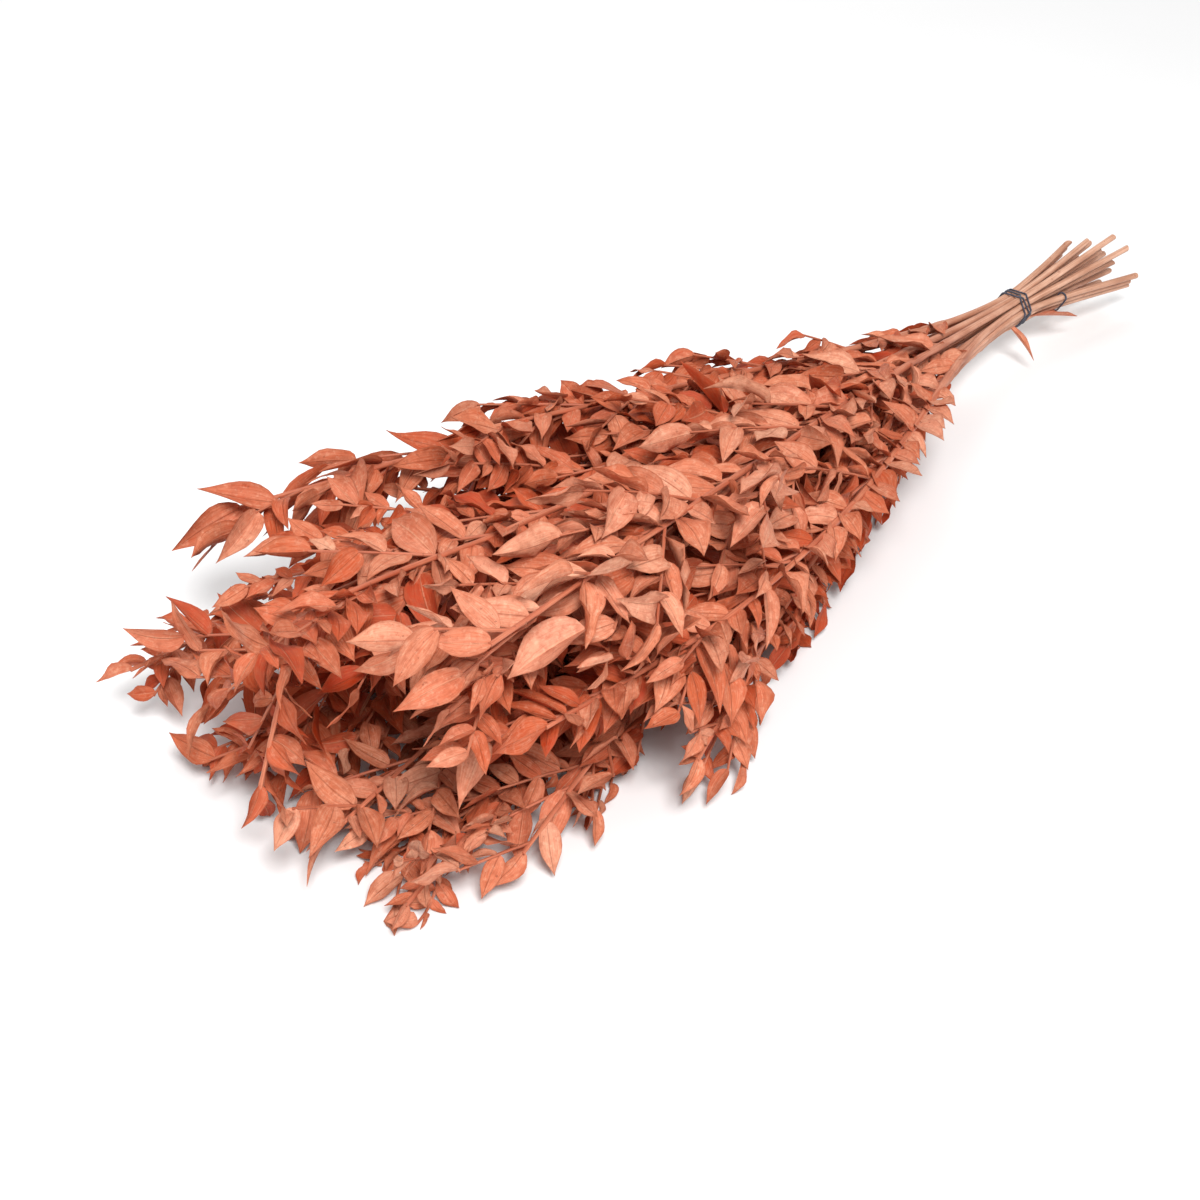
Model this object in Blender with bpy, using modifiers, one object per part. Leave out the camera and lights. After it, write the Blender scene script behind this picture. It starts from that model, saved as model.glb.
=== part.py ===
"""A tied bunch of dried ruscus, lying on its side: nineteen leafy stems and the elastic that holds them.

Metres, +Z up. +X runs along the bunch from the leafy tips to the cut ends, and the origin is at the bottom
centre of the bunch's box. Every stem is one grown piece: a cane, its side twigs and its pointed leaves.
"""

import math
import random
from collections import namedtuple

import bmesh
import bpy
from mathutils import Matrix, Vector
from mathutils.bvhtree import BVHTree
from mathutils.kdtree import KDTree

# The tie and the canes in it
CANE_DIAMETER = 0.0036
SLOT_PITCH = 0.0039
TIE_X = 0.235
TIE_HEIGHT = 0.032
TIE_STRAND = 0.0010
TIE_SWING = 0.0036
TIE_TURNS = 3
LOOP_X = 0.270
LOOP_STRAND = 0.0010
GAP = 0.0003

# How the canes leave the tie
BEND_LENGTH = 0.100
CUT_BEND_LENGTH = 0.020
CUT_LENGTH = 0.100
CUT_SPREAD = 2.75
SWAY_POWER = 3
# The way that a nodding cane's end hangs from its bend
NOD_WAY = (-0.37, 0.0, -0.93)
CANE_TIP_RADIUS = 0.0008
CANE_TAPER = 0.85
# Where the points of a cane's centreline stand, as shares of its reach up to its bend, and in what hangs
CANE_SHARES = (0, 0.10, 0.22, 0.40, 0.60, 0.80, 1)
NOD_SHARES = (0.33, 0.67, 1)

# Twigs
FIRST_TWIG = 0.120
LAST_TWIG = 0.93
TWIG_LENGTH = 0.105
TWIGS_OPEN_BY = 0.30
TWIG_RADIUS = 0.0010
TWIG_TIP_RADIUS = 0.0007
TWIG_CLEARANCE = 0.0015
TWIG_TRIES = 40
TWIG_STEPS = 2
TWIG_ROOT_FREE = 0.012
# How twigs stand to their cane, each a range to draw from: degrees off it by the tie, what opens further out,
# degrees up or down, radians round it, part of the full length, and how a twig bends on along it and droops
TWIG_LEAN = (12, 22)
TWIG_OPENING = 14
TWIG_TILT = (-16, 14)
TWIG_ROLL = (-0.7, 0.7)
TWIG_PART = (0.85, 1.15)
TWIG_CARRY = (0.5, 2.0)
TWIG_DROOP = (0.2, 2.4)

# Leaves
LEAF_THICKNESS = 0.0007
LEAF_SPACING = 0.36
LEAF_RUN = 0.040
LEAF_TRIES = 18
LEAF_CLEARANCE = 0.0012
# The ranges that leaves are drawn from: degrees off their shoot, at its side and at its tip, up or down and
# rolled, length as a part of the stem's, width as a part of length, then curl, fold and twist
LEAF_LEAN = (34, 60)
TIP_LEAN = (-12, 12)
LEAF_TILT = (-24, 14)
LEAF_ROLL = (-32, 32)
LEAF_LENGTH = (0.92, 1.25)
LEAF_WIDTH = (0.39, 0.50)
LEAF_CURL = (-0.25, 0.7)
LEAF_FOLD = (0.12, 0.6)
LEAF_TWIST = (-0.6, 0.6)
# How much smaller leaves are at their shoot's tip, and by the tie
TIP_SHRINK = 0.25
TIE_SHRINK = 0.35
WIDEST_AT = 0.38
OUTLINE_POWER = 0.9
BROAD_LEAF = 0.033
SMALL_LEAF = 0.026
LEAFY_END = 0.50
TIP_SINK = 0.0015
LEAVES_FULL_BY = 0.28

# How finely shoots are sampled and how far round a point the others are looked for
SAMPLE_PITCH = 0.003
SEARCH_RADIUS = 0.008
# The shell that stands for a leaf when the next ones are placed: its rows and how much wider and longer it is
SHELL_SHARES = (0.13, 0.38, 0.68)
SHELL_WIDTH = 1.12
SHELL_TIP = 0.0008

# One row for each cane. row and place are its slot in the tie: rows count up from the middle, and places run
# from the near side, -Y, to the far side. reach is its length from the tie, spread and rise are the angles it
# leaves at, sag is how far its end sinks, nod the length that hangs from a bend, sway how far its end swings
# to +Y, leaf is the length of its leaves, twigs their number, bush the part of their full length that they
# reach, and cut the length that shows past the tie.
Cane = namedtuple("Cane", "row place reach spread rise sag nod sway leaf twigs bush cut")
CANES = (
    Cane(2, -1.0, 0.566, -16.3, 18.0, 0.060, 0.000, 0.022, 0.034, 6, 0.80, 0.090),
    Cane(2, 0.0, 0.617, -6.8, 14.7, 0.069, 0.070, 0.048, 0.028, 6, 0.80, 0.078),
    Cane(2, 1.0, 0.382, 6.6, 15.0, 0.025, 0.000, 0.010, 0.026, 5, 0.70, 0.072),
    Cane(1, -1.5, 0.559, -27.0, 13.1, 0.072, 0.000, 0.112, 0.031, 6, 0.75, 0.098),
    Cane(1, -0.5, 0.540, -11.0, 13.5, 0.055, 0.000, 0.000, 0.025, 7, 1.00, 0.085),
    Cane(1, 0.5, 0.525, 0.0, 12.0, 0.045, 0.000, 0.010, 0.019, 7, 0.90, 0.090),
    Cane(1, 1.5, 0.488, 14.0, 11.8, 0.046, 0.000, 0.000, 0.044, 5, 0.50, 0.076),
    Cane(0, -2.0, 0.462, -19.2, 10.2, 0.066, 0.000, 0.000, 0.024, 6, 0.75, 0.102),
    Cane(0, -1.0, 0.525, -13.4, 8.5, 0.080, 0.000, 0.000, 0.026, 6, 0.60, 0.094),
    Cane(0, 0.0, 0.560, -5.4, 8.5, 0.082, 0.000, 0.000, 0.028, 6, 1.00, 0.100),
    Cane(0, 1.0, 0.552, 3.5, 9.2, 0.064, 0.000, 0.000, 0.030, 6, 1.00, 0.086),
    Cane(0, 2.0, 0.558, 9.5, 8.2, 0.066, 0.000, 0.002, 0.020, 7, 0.55, 0.082),
    Cane(-1, -1.5, 0.348, -20.1, 5.5, 0.019, 0.000, 0.000, 0.024, 5, 0.70, 0.099),
    Cane(-1, -0.5, 0.565, -10.2, 5.5, 0.065, 0.000, 0.000, 0.018, 7, 0.90, 0.100),
    Cane(-1, 0.5, 0.550, -0.4, 6.0, 0.052, 0.000, 0.013, 0.029, 6, 1.00, 0.090),
    Cane(-1, 1.5, 0.450, 13.0, 6.0, 0.050, 0.000, 0.000, 0.025, 5, 0.90, 0.084),
    Cane(-2, -1.0, 0.350, -15.5, 1.5, 0.022, 0.000, 0.000, 0.024, 4, 0.70, 0.101),
    Cane(-2, 0.0, 0.480, -6.0, 1.5, 0.024, 0.000, 0.000, 0.025, 5, 1.00, 0.100),
    Cane(-2, 1.0, 0.430, 7.0, 1.5, 0.024, 0.000, 0.000, 0.025, 5, 1.00, 0.096),
)
# Two dry leaves left on the lowest cane by the tie: distance past the tie, way it points, length and width
STRAY_CANE = 16
STRAY_LEAVES = (
    (0.008, (0.94, -0.30, -0.14), 0.042, 0.0105),
    (-0.009, (0.10, -0.80, -0.60), 0.024, 0.0060),
)
# The bunch's outline: how far tips may stand to each side and above the tie, as parts of their distance from
# it along the bunch. The near side opens by degrees, and once more past a waist.
NEAR_LIMIT = 0.298
NEAR_START = 0.120
NEAR_OPENING = 0.900
NEAR_WAIST = 0.360
NEAR_WIDENING = 0.800
FAR_LIMIT = 0.265
HIGH_LIMIT = 0.240
# The same for the far side and the height together
SUM_LIMIT = 0.370
# The furthest from the tie, and the furthest to the near side, which draws in past a turn
LONGEST_REACH = 0.588
NEAR_SIDE = -0.134
NEAR_TURN = 0.440
NEAR_TAPER = 0.330
# The canes that the elastic's small end loop holds together, by row and place, and how much more they lean
LOOPED = ((0, -2.0), (-1, -1.5), (-2, -1.0))
LOOPED_LEAN = 1.35

# Colours, linear RGB
LEAF_COLOUR = (0.62, 0.20, 0.10, 1.0)
ELASTIC_COLOUR = (0.030, 0.030, 0.050, 1.0)

UP = Vector((0, 0, 1))
CANE_RADIUS = CANE_DIAMETER / 2
ROW_HEIGHT = SLOT_PITCH * math.sqrt(3) / 2
CELL = 0.030

Shoot = namedtuple("Shoot", "cane name points radii face leaf")
Leaf = namedtuple("Leaf", "root along normal length width curl fold twist")


def slot(row, place):
    """Where a cane passes the tie, from the tie's middle."""
    return Vector((0, place * SLOT_PITCH, row * ROW_HEIGHT))


def eased(distance, bend):
    """A run that starts level and turns to its slope over about one bend length."""
    return math.sqrt(distance * distance + bend * bend) - bend


def leafy_point(cane, distance):
    """A point of the cane's centreline on the leafy side of the tie."""
    hung = max(distance - (cane.reach - cane.nod), 0)
    distance -= hung
    share = distance / cane.reach
    run = eased(distance, BEND_LENGTH)
    spread, rise = math.radians(cane.spread), math.radians(cane.rise)
    side = math.sin(spread) * run + cane.sway * share**SWAY_POWER
    height = math.tan(rise) * run - cane.sag * share**2
    point = Vector((TIE_X - math.cos(spread) * distance, side, TIE_HEIGHT + height))
    point += slot(cane.row, cane.place) + Vector(NOD_WAY) * hung
    point.z = max(point.z, CANE_RADIUS)
    return point


def cut_point(cane, distance):
    """A point of the cane's centreline past the tie, towards its cut end."""
    at = slot(cane.row, cane.place)
    flare = at
    if (cane.row, cane.place) in LOOPED:
        flare = sum((slot(*held) for held in LOOPED), Vector()) / len(LOOPED) * LOOPED_LEAN
    share = eased(distance, CUT_BEND_LENGTH) / eased(CUT_LENGTH, CUT_BEND_LENGTH)
    return Vector((TIE_X + distance, 0, TIE_HEIGHT)) + at + flare * (CUT_SPREAD - 1) * share


def cane_shoot(index):
    """The cane's own centreline, from its cut end to its tip."""
    cane = CANES[index]
    bend = 1 - cane.nod / cane.reach
    shares = [share * bend for share in CANE_SHARES]
    if cane.nod:
        shares += [bend + (1 - bend) * share for share in NOD_SHARES]
    points = [cut_point(cane, cane.cut), cut_point(cane, LOOP_X - TIE_X)]
    points += [leafy_point(cane, cane.reach * share) for share in shares]
    radii = [CANE_RADIUS, CANE_RADIUS]
    radii += [CANE_RADIUS + (CANE_TIP_RADIUS - CANE_RADIUS) * share**CANE_TAPER for share in shares]
    return Shoot(index, f"{index} cane", points, radii, UP, cane.leaf)


def along_shoot(shoot, share):
    """The point and direction at a share of a shoot's length."""
    lengths = [(b - a).length for a, b in zip(shoot.points, shoot.points[1:])]
    left = share * sum(lengths)
    for i, length in enumerate(lengths):
        if left <= length or i == len(lengths) - 1:
            break
        left -= length
    start, end = shoot.points[i], shoot.points[i + 1]
    return start.lerp(end, min(left / length, 1.0)), (end - start).normalized()


def spray_side(along, roll):
    """The spray's face normal and its sideways direction, rolled a little about the cane."""
    side = along.cross(UP).normalized()
    face = side.cross(along).normalized()
    turn = Matrix.Rotation(roll, 3, along)
    return turn @ face, turn @ side


def twig_shoot(stem, number, attempt):
    """One draw of a side twig: its root sits on the cane's centreline."""
    cane = CANES[stem.cane]
    rng = random.Random(f"cane {stem.cane} twig {number} try {attempt}")
    first = FIRST_TWIG / cane.reach
    share = first + (LAST_TWIG - first) * (number + 0.3 + 0.4 * rng.random()) / cane.twigs
    root, along = along_shoot(stem, (share * cane.reach + cane.cut) / (cane.reach + cane.cut))
    opened = min(cane.reach * share / TWIGS_OPEN_BY, 1.0)
    wide = 1 + attempt / TWIG_TRIES
    face, side = spray_side(along, rng.uniform(*TWIG_ROLL) * wide)
    lean = math.radians(rng.uniform(*TWIG_LEAN) + TWIG_OPENING * opened) * (-1) ** math.ceil(number)
    tilt = math.radians(rng.uniform(*TWIG_TILT) * wide)
    start = (along * math.cos(lean) + side * math.sin(lean)).normalized()
    start = (start * math.cos(tilt) + face * math.sin(tilt)).normalized()
    length = TWIG_LENGTH * max(1.1 * opened - 0.55 * share, 0.5) * rng.uniform(*TWIG_PART)
    length *= cane.bush * (1 - 0.4 * attempt / TWIG_TRIES)
    bend = along * rng.uniform(*TWIG_CARRY) - UP * rng.uniform(*TWIG_DROOP)
    points, radii = [], []
    for i in range(TWIG_STEPS + 1):
        run = length * i / TWIG_STEPS
        point = root + start * run + bend * run * run / 2
        point.z = max(point.z, TWIG_RADIUS + GAP)
        points.append(point)
        radii.append(TWIG_RADIUS + (TWIG_TIP_RADIUS - TWIG_RADIUS) * i / TWIG_STEPS)
    return Shoot(stem.cane, f"{stem.cane} twig {number}", points, radii, face, cane.leaf)


def in_bunch(tip):
    """Whether a twig's or leaf's tip stays inside the bunch's outline."""
    reach = TIE_X - tip.x
    side, height = tip.y / reach, (tip.z - TIE_HEIGHT) / reach
    widened = NEAR_LIMIT + NEAR_WIDENING * max(reach - NEAR_WAIST, 0)
    near_limit = min(widened, NEAR_START + NEAR_OPENING * reach)
    within = -near_limit < side < FAR_LIMIT and height < HIGH_LIMIT and side + height < SUM_LIMIT
    near = NEAR_SIDE + max(reach - NEAR_TURN, 0) * NEAR_TAPER
    return within and math.hypot(reach, tip.y) < LONGEST_REACH and tip.y > near


def samples(shoot, pitch):
    """Points close together along a shoot, each with the radius there."""
    found = []
    for i in range(len(shoot.points) - 1):
        start, end = shoot.points[i], shoot.points[i + 1]
        count = max(1, math.ceil((end - start).length / pitch))
        for k in range(count):
            share = k / count
            radius = shoot.radii[i] + (shoot.radii[i + 1] - shoot.radii[i]) * share
            found.append((start.lerp(end, share), radius))
    found.append((shoot.points[-1], shoot.radii[-1]))
    return found


def clear_of(shoot, placed):
    """Whether a twig stays clear of the shoots placed so far, past the root that joins its own cane."""
    origin = shoot.points[0]
    for at, radius in samples(shoot, SAMPLE_PITCH):
        if (at - origin).length < TWIG_ROOT_FREE:
            continue
        for _, number, distance in placed["tree"].find_range(at, SEARCH_RADIUS):
            if distance < radius + placed["radii"][number] + TWIG_CLEARANCE:
                return False
    return True


def grow_tree(shoots):
    """A search tree of every shoot's points."""
    found = [pair for shoot in shoots for pair in samples(shoot, SAMPLE_PITCH)]
    tree = KDTree(len(found))
    for i, (at, _) in enumerate(found):
        tree.insert(at, i)
    tree.balance()
    return {"tree": tree, "radii": [radius for _, radius in found]}


def all_shoots():
    """Every cane and twig, each twig drawn again until it clears the others."""
    stems = [cane_shoot(i) for i in range(len(CANES))]
    twigs = []
    for stem in stems:
        for number in range(CANES[stem.cane].twigs):
            placed = grow_tree(stems + twigs)
            for attempt in range(TWIG_TRIES):
                twig = twig_shoot(stem, number, attempt)
                if in_bunch(twig.points[-1]) and clear_of(twig, placed):
                    twigs.append(twig)
                    break
    return stems, twigs


def outline(share):
    """Half the leaf's width at a share of its length, as a part of its greatest half width."""
    power = math.log(0.5) / math.log(WIDEST_AT)
    return max(math.sin(math.pi * share**power), 0) ** OUTLINE_POWER


def leaf_point(leaf, share, across, lift=0.0):
    """A point of the leaf's curved face; lift raises it off the face."""
    side = leaf.along.cross(leaf.normal)
    turned = side * math.cos(leaf.twist * share) + leaf.normal * math.sin(leaf.twist * share)
    out = turned.cross(leaf.along)
    half = leaf.width / 2 * outline(share)
    point = leaf.root + leaf.along * leaf.length * share * (1 - (leaf.curl * share) ** 2 / 6)
    point -= leaf.normal * leaf.length * leaf.curl * share**2 / 2
    point += turned * across * half + out * (leaf.fold * abs(across) * half + lift)
    point.z = max(point.z, LEAF_THICKNESS / 2 + lift)
    return point


def draw_leaf(shoot, number, count, attempt):
    """One draw of a leaf. Number 0 is the leaf at the shoot's tip; the others stand in two ranks."""
    rng = random.Random(f"{shoot.name} leaf {number} try {attempt}")
    wide = 1 + 1.2 * attempt / LEAF_TRIES
    share = 1.0 if number == 0 else 1 - number / (count + 0.5)
    root, along = along_shoot(shoot, share)
    if number == 0:
        root = root - along * TIP_SINK
    side = along.cross(shoot.face).normalized()
    face = side.cross(along).normalized()
    lean = math.radians(rng.uniform(*LEAF_LEAN) if number else rng.uniform(*TIP_LEAN))
    lean *= 1 if number % 2 else -1
    tilt = math.radians(rng.uniform(*LEAF_TILT) * wide)
    pointing = along * math.cos(lean) + side * math.sin(lean)
    pointing = (pointing * math.cos(tilt) + face * math.sin(tilt)).normalized()
    roll = Matrix.Rotation(math.radians(rng.uniform(*LEAF_ROLL) * wide), 3, pointing)
    normal = roll @ pointing.cross(side.cross(pointing) if number == 0 else along).normalized()
    if normal.dot(face) < 0:
        normal = -normal
    opened = min((TIE_X - root.x) / LEAVES_FULL_BY, 1.0)
    length = shoot.leaf * rng.uniform(*LEAF_LENGTH)
    length *= (1 - TIP_SHRINK * share) * (1 - TIE_SHRINK * (1 - opened))
    width = length * rng.uniform(*LEAF_WIDTH)
    curl, fold, twist = rng.uniform(*LEAF_CURL), rng.uniform(*LEAF_FOLD), rng.uniform(*LEAF_TWIST)
    return Leaf(root, pointing, normal, length, width, curl, fold, twist)


class Crowd:
    """The solids placed so far, sorted into cubes of space, to find what a new one would cross."""

    def __init__(self):
        self.cubes = {}

    def near(self, points):
        low = [math.floor(min(p[i] for p in points) / CELL) for i in range(3)]
        high = [math.floor(max(p[i] for p in points) / CELL) for i in range(3)]
        for x in range(low[0], high[0] + 1):
            for y in range(low[1], high[1] + 1):
                for z in range(low[2], high[2] + 1):
                    yield (x, y, z)

    def add(self, owner, points, faces):
        body = (owner, BVHTree.FromPolygons(points, faces))
        for cube in self.near(points):
            self.cubes.setdefault(cube, []).append(body)

    def crosses(self, owner, points, faces):
        tree = BVHTree.FromPolygons(points, faces)
        tried = set()
        for cube in self.near(points):
            for body in self.cubes.get(cube, ()):
                if body[0] == owner or id(body) in tried:
                    continue
                tried.add(id(body))
                if body[1].overlap(tree):
                    return True
        return False


def rod(start, end, start_radius, end_radius):
    """A four-sided rod between two points."""
    along = (end - start).normalized()
    side = along.orthogonal().normalized()
    other = along.cross(side)
    ring = [side, other, -side, -other]
    points = [start + way * start_radius * 1.3 for way in ring]
    points += [end + way * end_radius * 1.3 for way in ring]
    faces = [(i, (i + 1) % 4, (i + 1) % 4 + 4, i + 4) for i in range(4)]
    return points, faces + [(0, 1, 2, 3), (4, 5, 6, 7)]


def add_shoots(crowd, shoots):
    for shoot in shoots:
        pairs = list(zip(shoot.points, shoot.radii))
        for (start, near_radius), (end, far_radius) in zip(pairs, pairs[1:]):
            crowd.add(shoot.name, *rod(start, end, near_radius + GAP, far_radius + GAP))


def envelope(leaf):
    """A closed shell a little thicker and wider than the leaf, from just past its root to its tip."""
    lift = LEAF_THICKNESS / 2 + LEAF_CLEARANCE / 2
    points = []
    for level in (-lift, lift):
        for share in SHELL_SHARES:
            points += [leaf_point(leaf, share, across, level) for across in (-SHELL_WIDTH, 0, SHELL_WIDTH)]
        points.append(leaf_point(leaf, 1.0, 0, level) + leaf.along * SHELL_TIP)
    faces = []
    for first in (0, 10):
        for row in (0, 3):
            for k in (0, 1):
                at = first + row + k
                faces.append((at, at + 1, at + 4, at + 3))
        faces += [(first + 6, first + 7, first + 9), (first + 7, first + 8, first + 9)]
    edge = (0, 1, 2, 5, 8, 9, 6, 3)
    faces += [(a, b, b + 10, a + 10) for a, b in zip(edge, edge[1:] + edge[:1])]
    return points, faces


def place_leaf(crowd, shoot, number, count):
    """The first draw of a leaf that clears everything placed so far, or nothing."""
    for attempt in range(LEAF_TRIES):
        leaf = draw_leaf(shoot, number, count, attempt)
        points, faces = envelope(leaf)
        if in_bunch(leaf_point(leaf, 1, 0)) and not crowd.crosses(shoot.name, points, faces):
            crowd.add(f"{shoot.name} leaf {number}", points, faces)
            return leaf
    return None


def leaf_count(shoot):
    """How many leaves stand along a shoot, besides the one at its tip."""
    length = sum((b - a).length for a, b in zip(shoot.points, shoot.points[1:]))
    return int(length / (shoot.leaf * LEAF_SPACING))


def stray_leaves(stems):
    """The leaves left by the tie, numbered below the others."""
    found = []
    for i, (distance, way, length, width) in enumerate(STRAY_LEAVES):
        cane = CANES[STRAY_CANE]
        root = cut_point(cane, distance) if distance > 0 else leafy_point(cane, -distance)
        along = Vector(way).normalized()
        normal = along.cross(UP.cross(along)).normalized()
        found.append((stems[STRAY_CANE], -1 - i, Leaf(root, along, normal, length, width, 0.2, 0.35, 0.5)))
    return found


def placed_leaves(stems, twigs):
    """(shoot, number, leaf) for every shoot: the tips' leaves first, then one about every LEAF_RUN."""
    crowd = Crowd()
    add_shoots(crowd, stems + twigs)
    found = stray_leaves(stems)
    for shoot in stems + twigs:
        leaf = place_leaf(crowd, shoot, 0, leaf_count(shoot))
        if leaf:
            found.append((shoot, 0, leaf))
    for shoot in stems + twigs:
        count = leaf_count(shoot)
        top = count if "twig" in shoot.name else int(count * LEAFY_END)
        step = max(2, round(LEAF_RUN / (shoot.leaf * LEAF_SPACING)))
        for number in range(step, top + 1, step):
            leaf = place_leaf(crowd, shoot, number, count)
            if leaf:
                found.append((shoot, number, leaf))
    return crowd, found


def new_object(name, mesh, collection):
    made = bpy.data.objects.new(name, mesh)
    collection.objects.link(made)
    return made


def tube(name, points, radii, rounding, cyclic, collection):
    """A round rod along a line of points, with closed ends."""
    curve = bpy.data.curves.new(name, "CURVE")
    curve.dimensions = "3D"
    curve.bevel_depth = 1.0
    curve.bevel_resolution = rounding
    curve.use_fill_caps = not cyclic
    spline = curve.splines.new("POLY")
    spline.points.add(len(points) - 1)
    for target, at, radius in zip(spline.points, points, radii):
        target.co = (*at, 1)
        target.radius = radius
    spline.use_cyclic_u = cyclic
    drawn = new_object(name, curve, collection)
    bpy.context.view_layer.update()
    mesh = bpy.data.meshes.new_from_object(drawn.evaluated_get(bpy.context.evaluated_depsgraph_get()))
    bpy.data.objects.remove(drawn)
    welded = bmesh.new()
    welded.from_mesh(mesh)
    bmesh.ops.remove_doubles(welded, verts=welded.verts, dist=0.00005)
    bmesh.ops.recalc_face_normals(welded, faces=welded.faces)
    welded.to_mesh(mesh)
    welded.free()
    return new_object(name, mesh, collection)


def blade(name, leaf, collection):
    """A leaf as a thin sheet of few facets. Broad ones keep a fold along the middle, small ones are kites."""
    sheet = bmesh.new()
    columns = (-1, 0, 1) if leaf.length > BROAD_LEAF else (-1, 1)
    shares = (0.24, 0.62) if leaf.length > SMALL_LEAF else (0.42,)
    root = sheet.verts.new(leaf_point(leaf, 0, 0))
    rows = [[sheet.verts.new(leaf_point(leaf, share, across)) for across in columns] for share in shares]
    tip = sheet.verts.new(leaf_point(leaf, 1, 0))
    for k in range(len(columns) - 1):
        sheet.faces.new((root, rows[0][k + 1], rows[0][k]))
        for near, far in zip(rows, rows[1:]):
            sheet.faces.new((near[k], near[k + 1], far[k + 1], far[k]))
        sheet.faces.new((rows[-1][k], rows[-1][k + 1], tip))
    bmesh.ops.triangulate(sheet, faces=sheet.faces)
    mesh = bpy.data.meshes.new(name)
    sheet.to_mesh(mesh)
    sheet.free()
    made = new_object(name, mesh, collection)
    thicken = made.modifiers.new("thicken", "SOLIDIFY")
    thicken.thickness = LEAF_THICKNESS
    thicken.offset = 0
    thicken.use_even_offset = False
    return made


def joined(base, repeats):
    """The base and every object of a collection as one solid; the collection's objects go."""
    union = base.modifiers.new("join", "BOOLEAN")
    union.operation = "UNION"
    union.operand_type = "COLLECTION"
    union.collection = repeats
    union.solver = "MANIFOLD"
    bpy.context.view_layer.update()
    mesh = bpy.data.meshes.new_from_object(base.evaluated_get(bpy.context.evaluated_depsgraph_get()))
    base.modifiers.clear()
    base.data = mesh
    for part in list(repeats.objects):
        bpy.data.objects.remove(part)
    mesh.shade_smooth()
    mesh.set_sharp_from_angle(angle=math.radians(35))
    return base


def leafy_stem(stem, twigs, leaves, bunch, repeats):
    """One cane fused with its twigs and leaves."""
    base = tube(f"stem_{stem.cane + 1:02d}", stem.points, stem.radii, 1, False, bunch)
    for twig in twigs:
        if twig.cane == stem.cane:
            tube("twig", twig.points, twig.radii, 0, False, repeats)
    for shoot, _, leaf in leaves:
        if shoot.cane == stem.cane:
            blade("leaf", leaf, repeats)
    return joined(base, repeats)


def loop_path(centres, radius, arc_steps):
    """A loop drawn tightly round the outside of a group of canes, as (side, height) points."""
    middle = sum(centres, Vector()) / len(centres)
    count = 48
    points = []
    for i in range(count):
        angle = 2 * math.pi * i / count
        way = Vector((0, math.cos(angle), math.sin(angle)))
        furthest = max(centres, key=lambda at: (at - middle).dot(way))
        points.append(furthest + way * radius)
    return points[::arc_steps]


def tie_band(bunch, repeats):
    """The elastic's turns round the whole bunch, each swinging across the others."""
    centres = [slot(cane.row, cane.place) + Vector((TIE_X, 0, TIE_HEIGHT)) for cane in CANES]
    path = loop_path(centres, CANE_RADIUS + GAP + TIE_STRAND / 2, 3)
    strands = []
    for turn in range(TIE_TURNS):
        points = []
        for i, at in enumerate(path):
            swing = math.cos(2 * math.pi * (i / len(path) + turn / TIE_TURNS))
            points.append(at + Vector((TIE_SWING * swing, 0, 0)))
        home = repeats if turn else bunch
        strands.append(tube("tie_band", points, [TIE_STRAND / 2] * len(points), 1, True, home))
    return joined(strands[0], repeats)


def tie_loop(bunch):
    """The elastic's small end loop round the looped canes."""
    held = [cane for cane in CANES if (cane.row, cane.place) in LOOPED]
    centres = [cut_point(cane, LOOP_X - TIE_X) for cane in held]
    path = loop_path(centres, CANE_RADIUS * 1.02 + GAP + LOOP_STRAND / 2, 3)
    return tube("tie_loop", path, [LOOP_STRAND / 2] * len(path), 1, True, bunch)


def material(name, colour, roughness):
    made = bpy.data.materials.new(name)
    made.use_nodes = True
    shader = made.node_tree.nodes["Principled BSDF"]
    shader.inputs["Base Color"].default_value = colour
    shader.inputs["Roughness"].default_value = roughness
    return made


def centre_on_floor(objects):
    """Moves everything so that the bunch's box stands centred on the origin."""
    points = [vertex.co for made in objects for vertex in made.data.vertices]
    low = Vector([min(p[i] for p in points) for i in range(3)])
    high = Vector([max(p[i] for p in points) for i in range(3)])
    shift = Vector((-(low.x + high.x) / 2, -(low.y + high.y) / 2, -low.z))
    for made in objects:
        made.data.transform(Matrix.Translation(shift))


def main():
    for old in list(bpy.data.objects):
        bpy.data.objects.remove(old)
    bunch = bpy.data.collections.new("dried_ruscus_bunch")
    repeats = bpy.data.collections.new("repeats")
    bpy.context.scene.collection.children.link(bunch)
    bpy.context.scene.collection.children.link(repeats)
    stems, twigs = all_shoots()
    leaves = placed_leaves(stems, twigs)[1]
    made = [leafy_stem(stem, twigs, leaves, bunch, repeats) for stem in stems]
    made += [tie_band(bunch, repeats), tie_loop(bunch)]
    centre_on_floor(made)
    for piece in made:
        elastic = piece.name.startswith("tie")
        colour = ELASTIC_COLOUR if elastic else LEAF_COLOUR
        piece.data.materials.append(material(piece.name, colour, 0.6 if elastic else 0.85))
    print(len(stems), "canes,", len(twigs), "twigs and", len(leaves), "leaves")


main()
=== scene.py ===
"""The looks of a tied bunch of dried, dyed ruscus: every leaf, twig and cane of its stems, and its elastic tie.

The canes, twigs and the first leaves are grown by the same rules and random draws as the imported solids, so
each lies where its solid is. More leaves are then drawn between them.
"""

import math
import random
from collections import namedtuple

import bpy
from mathutils import Matrix, Vector
from mathutils.bvhtree import BVHTree
from mathutils.kdtree import KDTree


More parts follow.
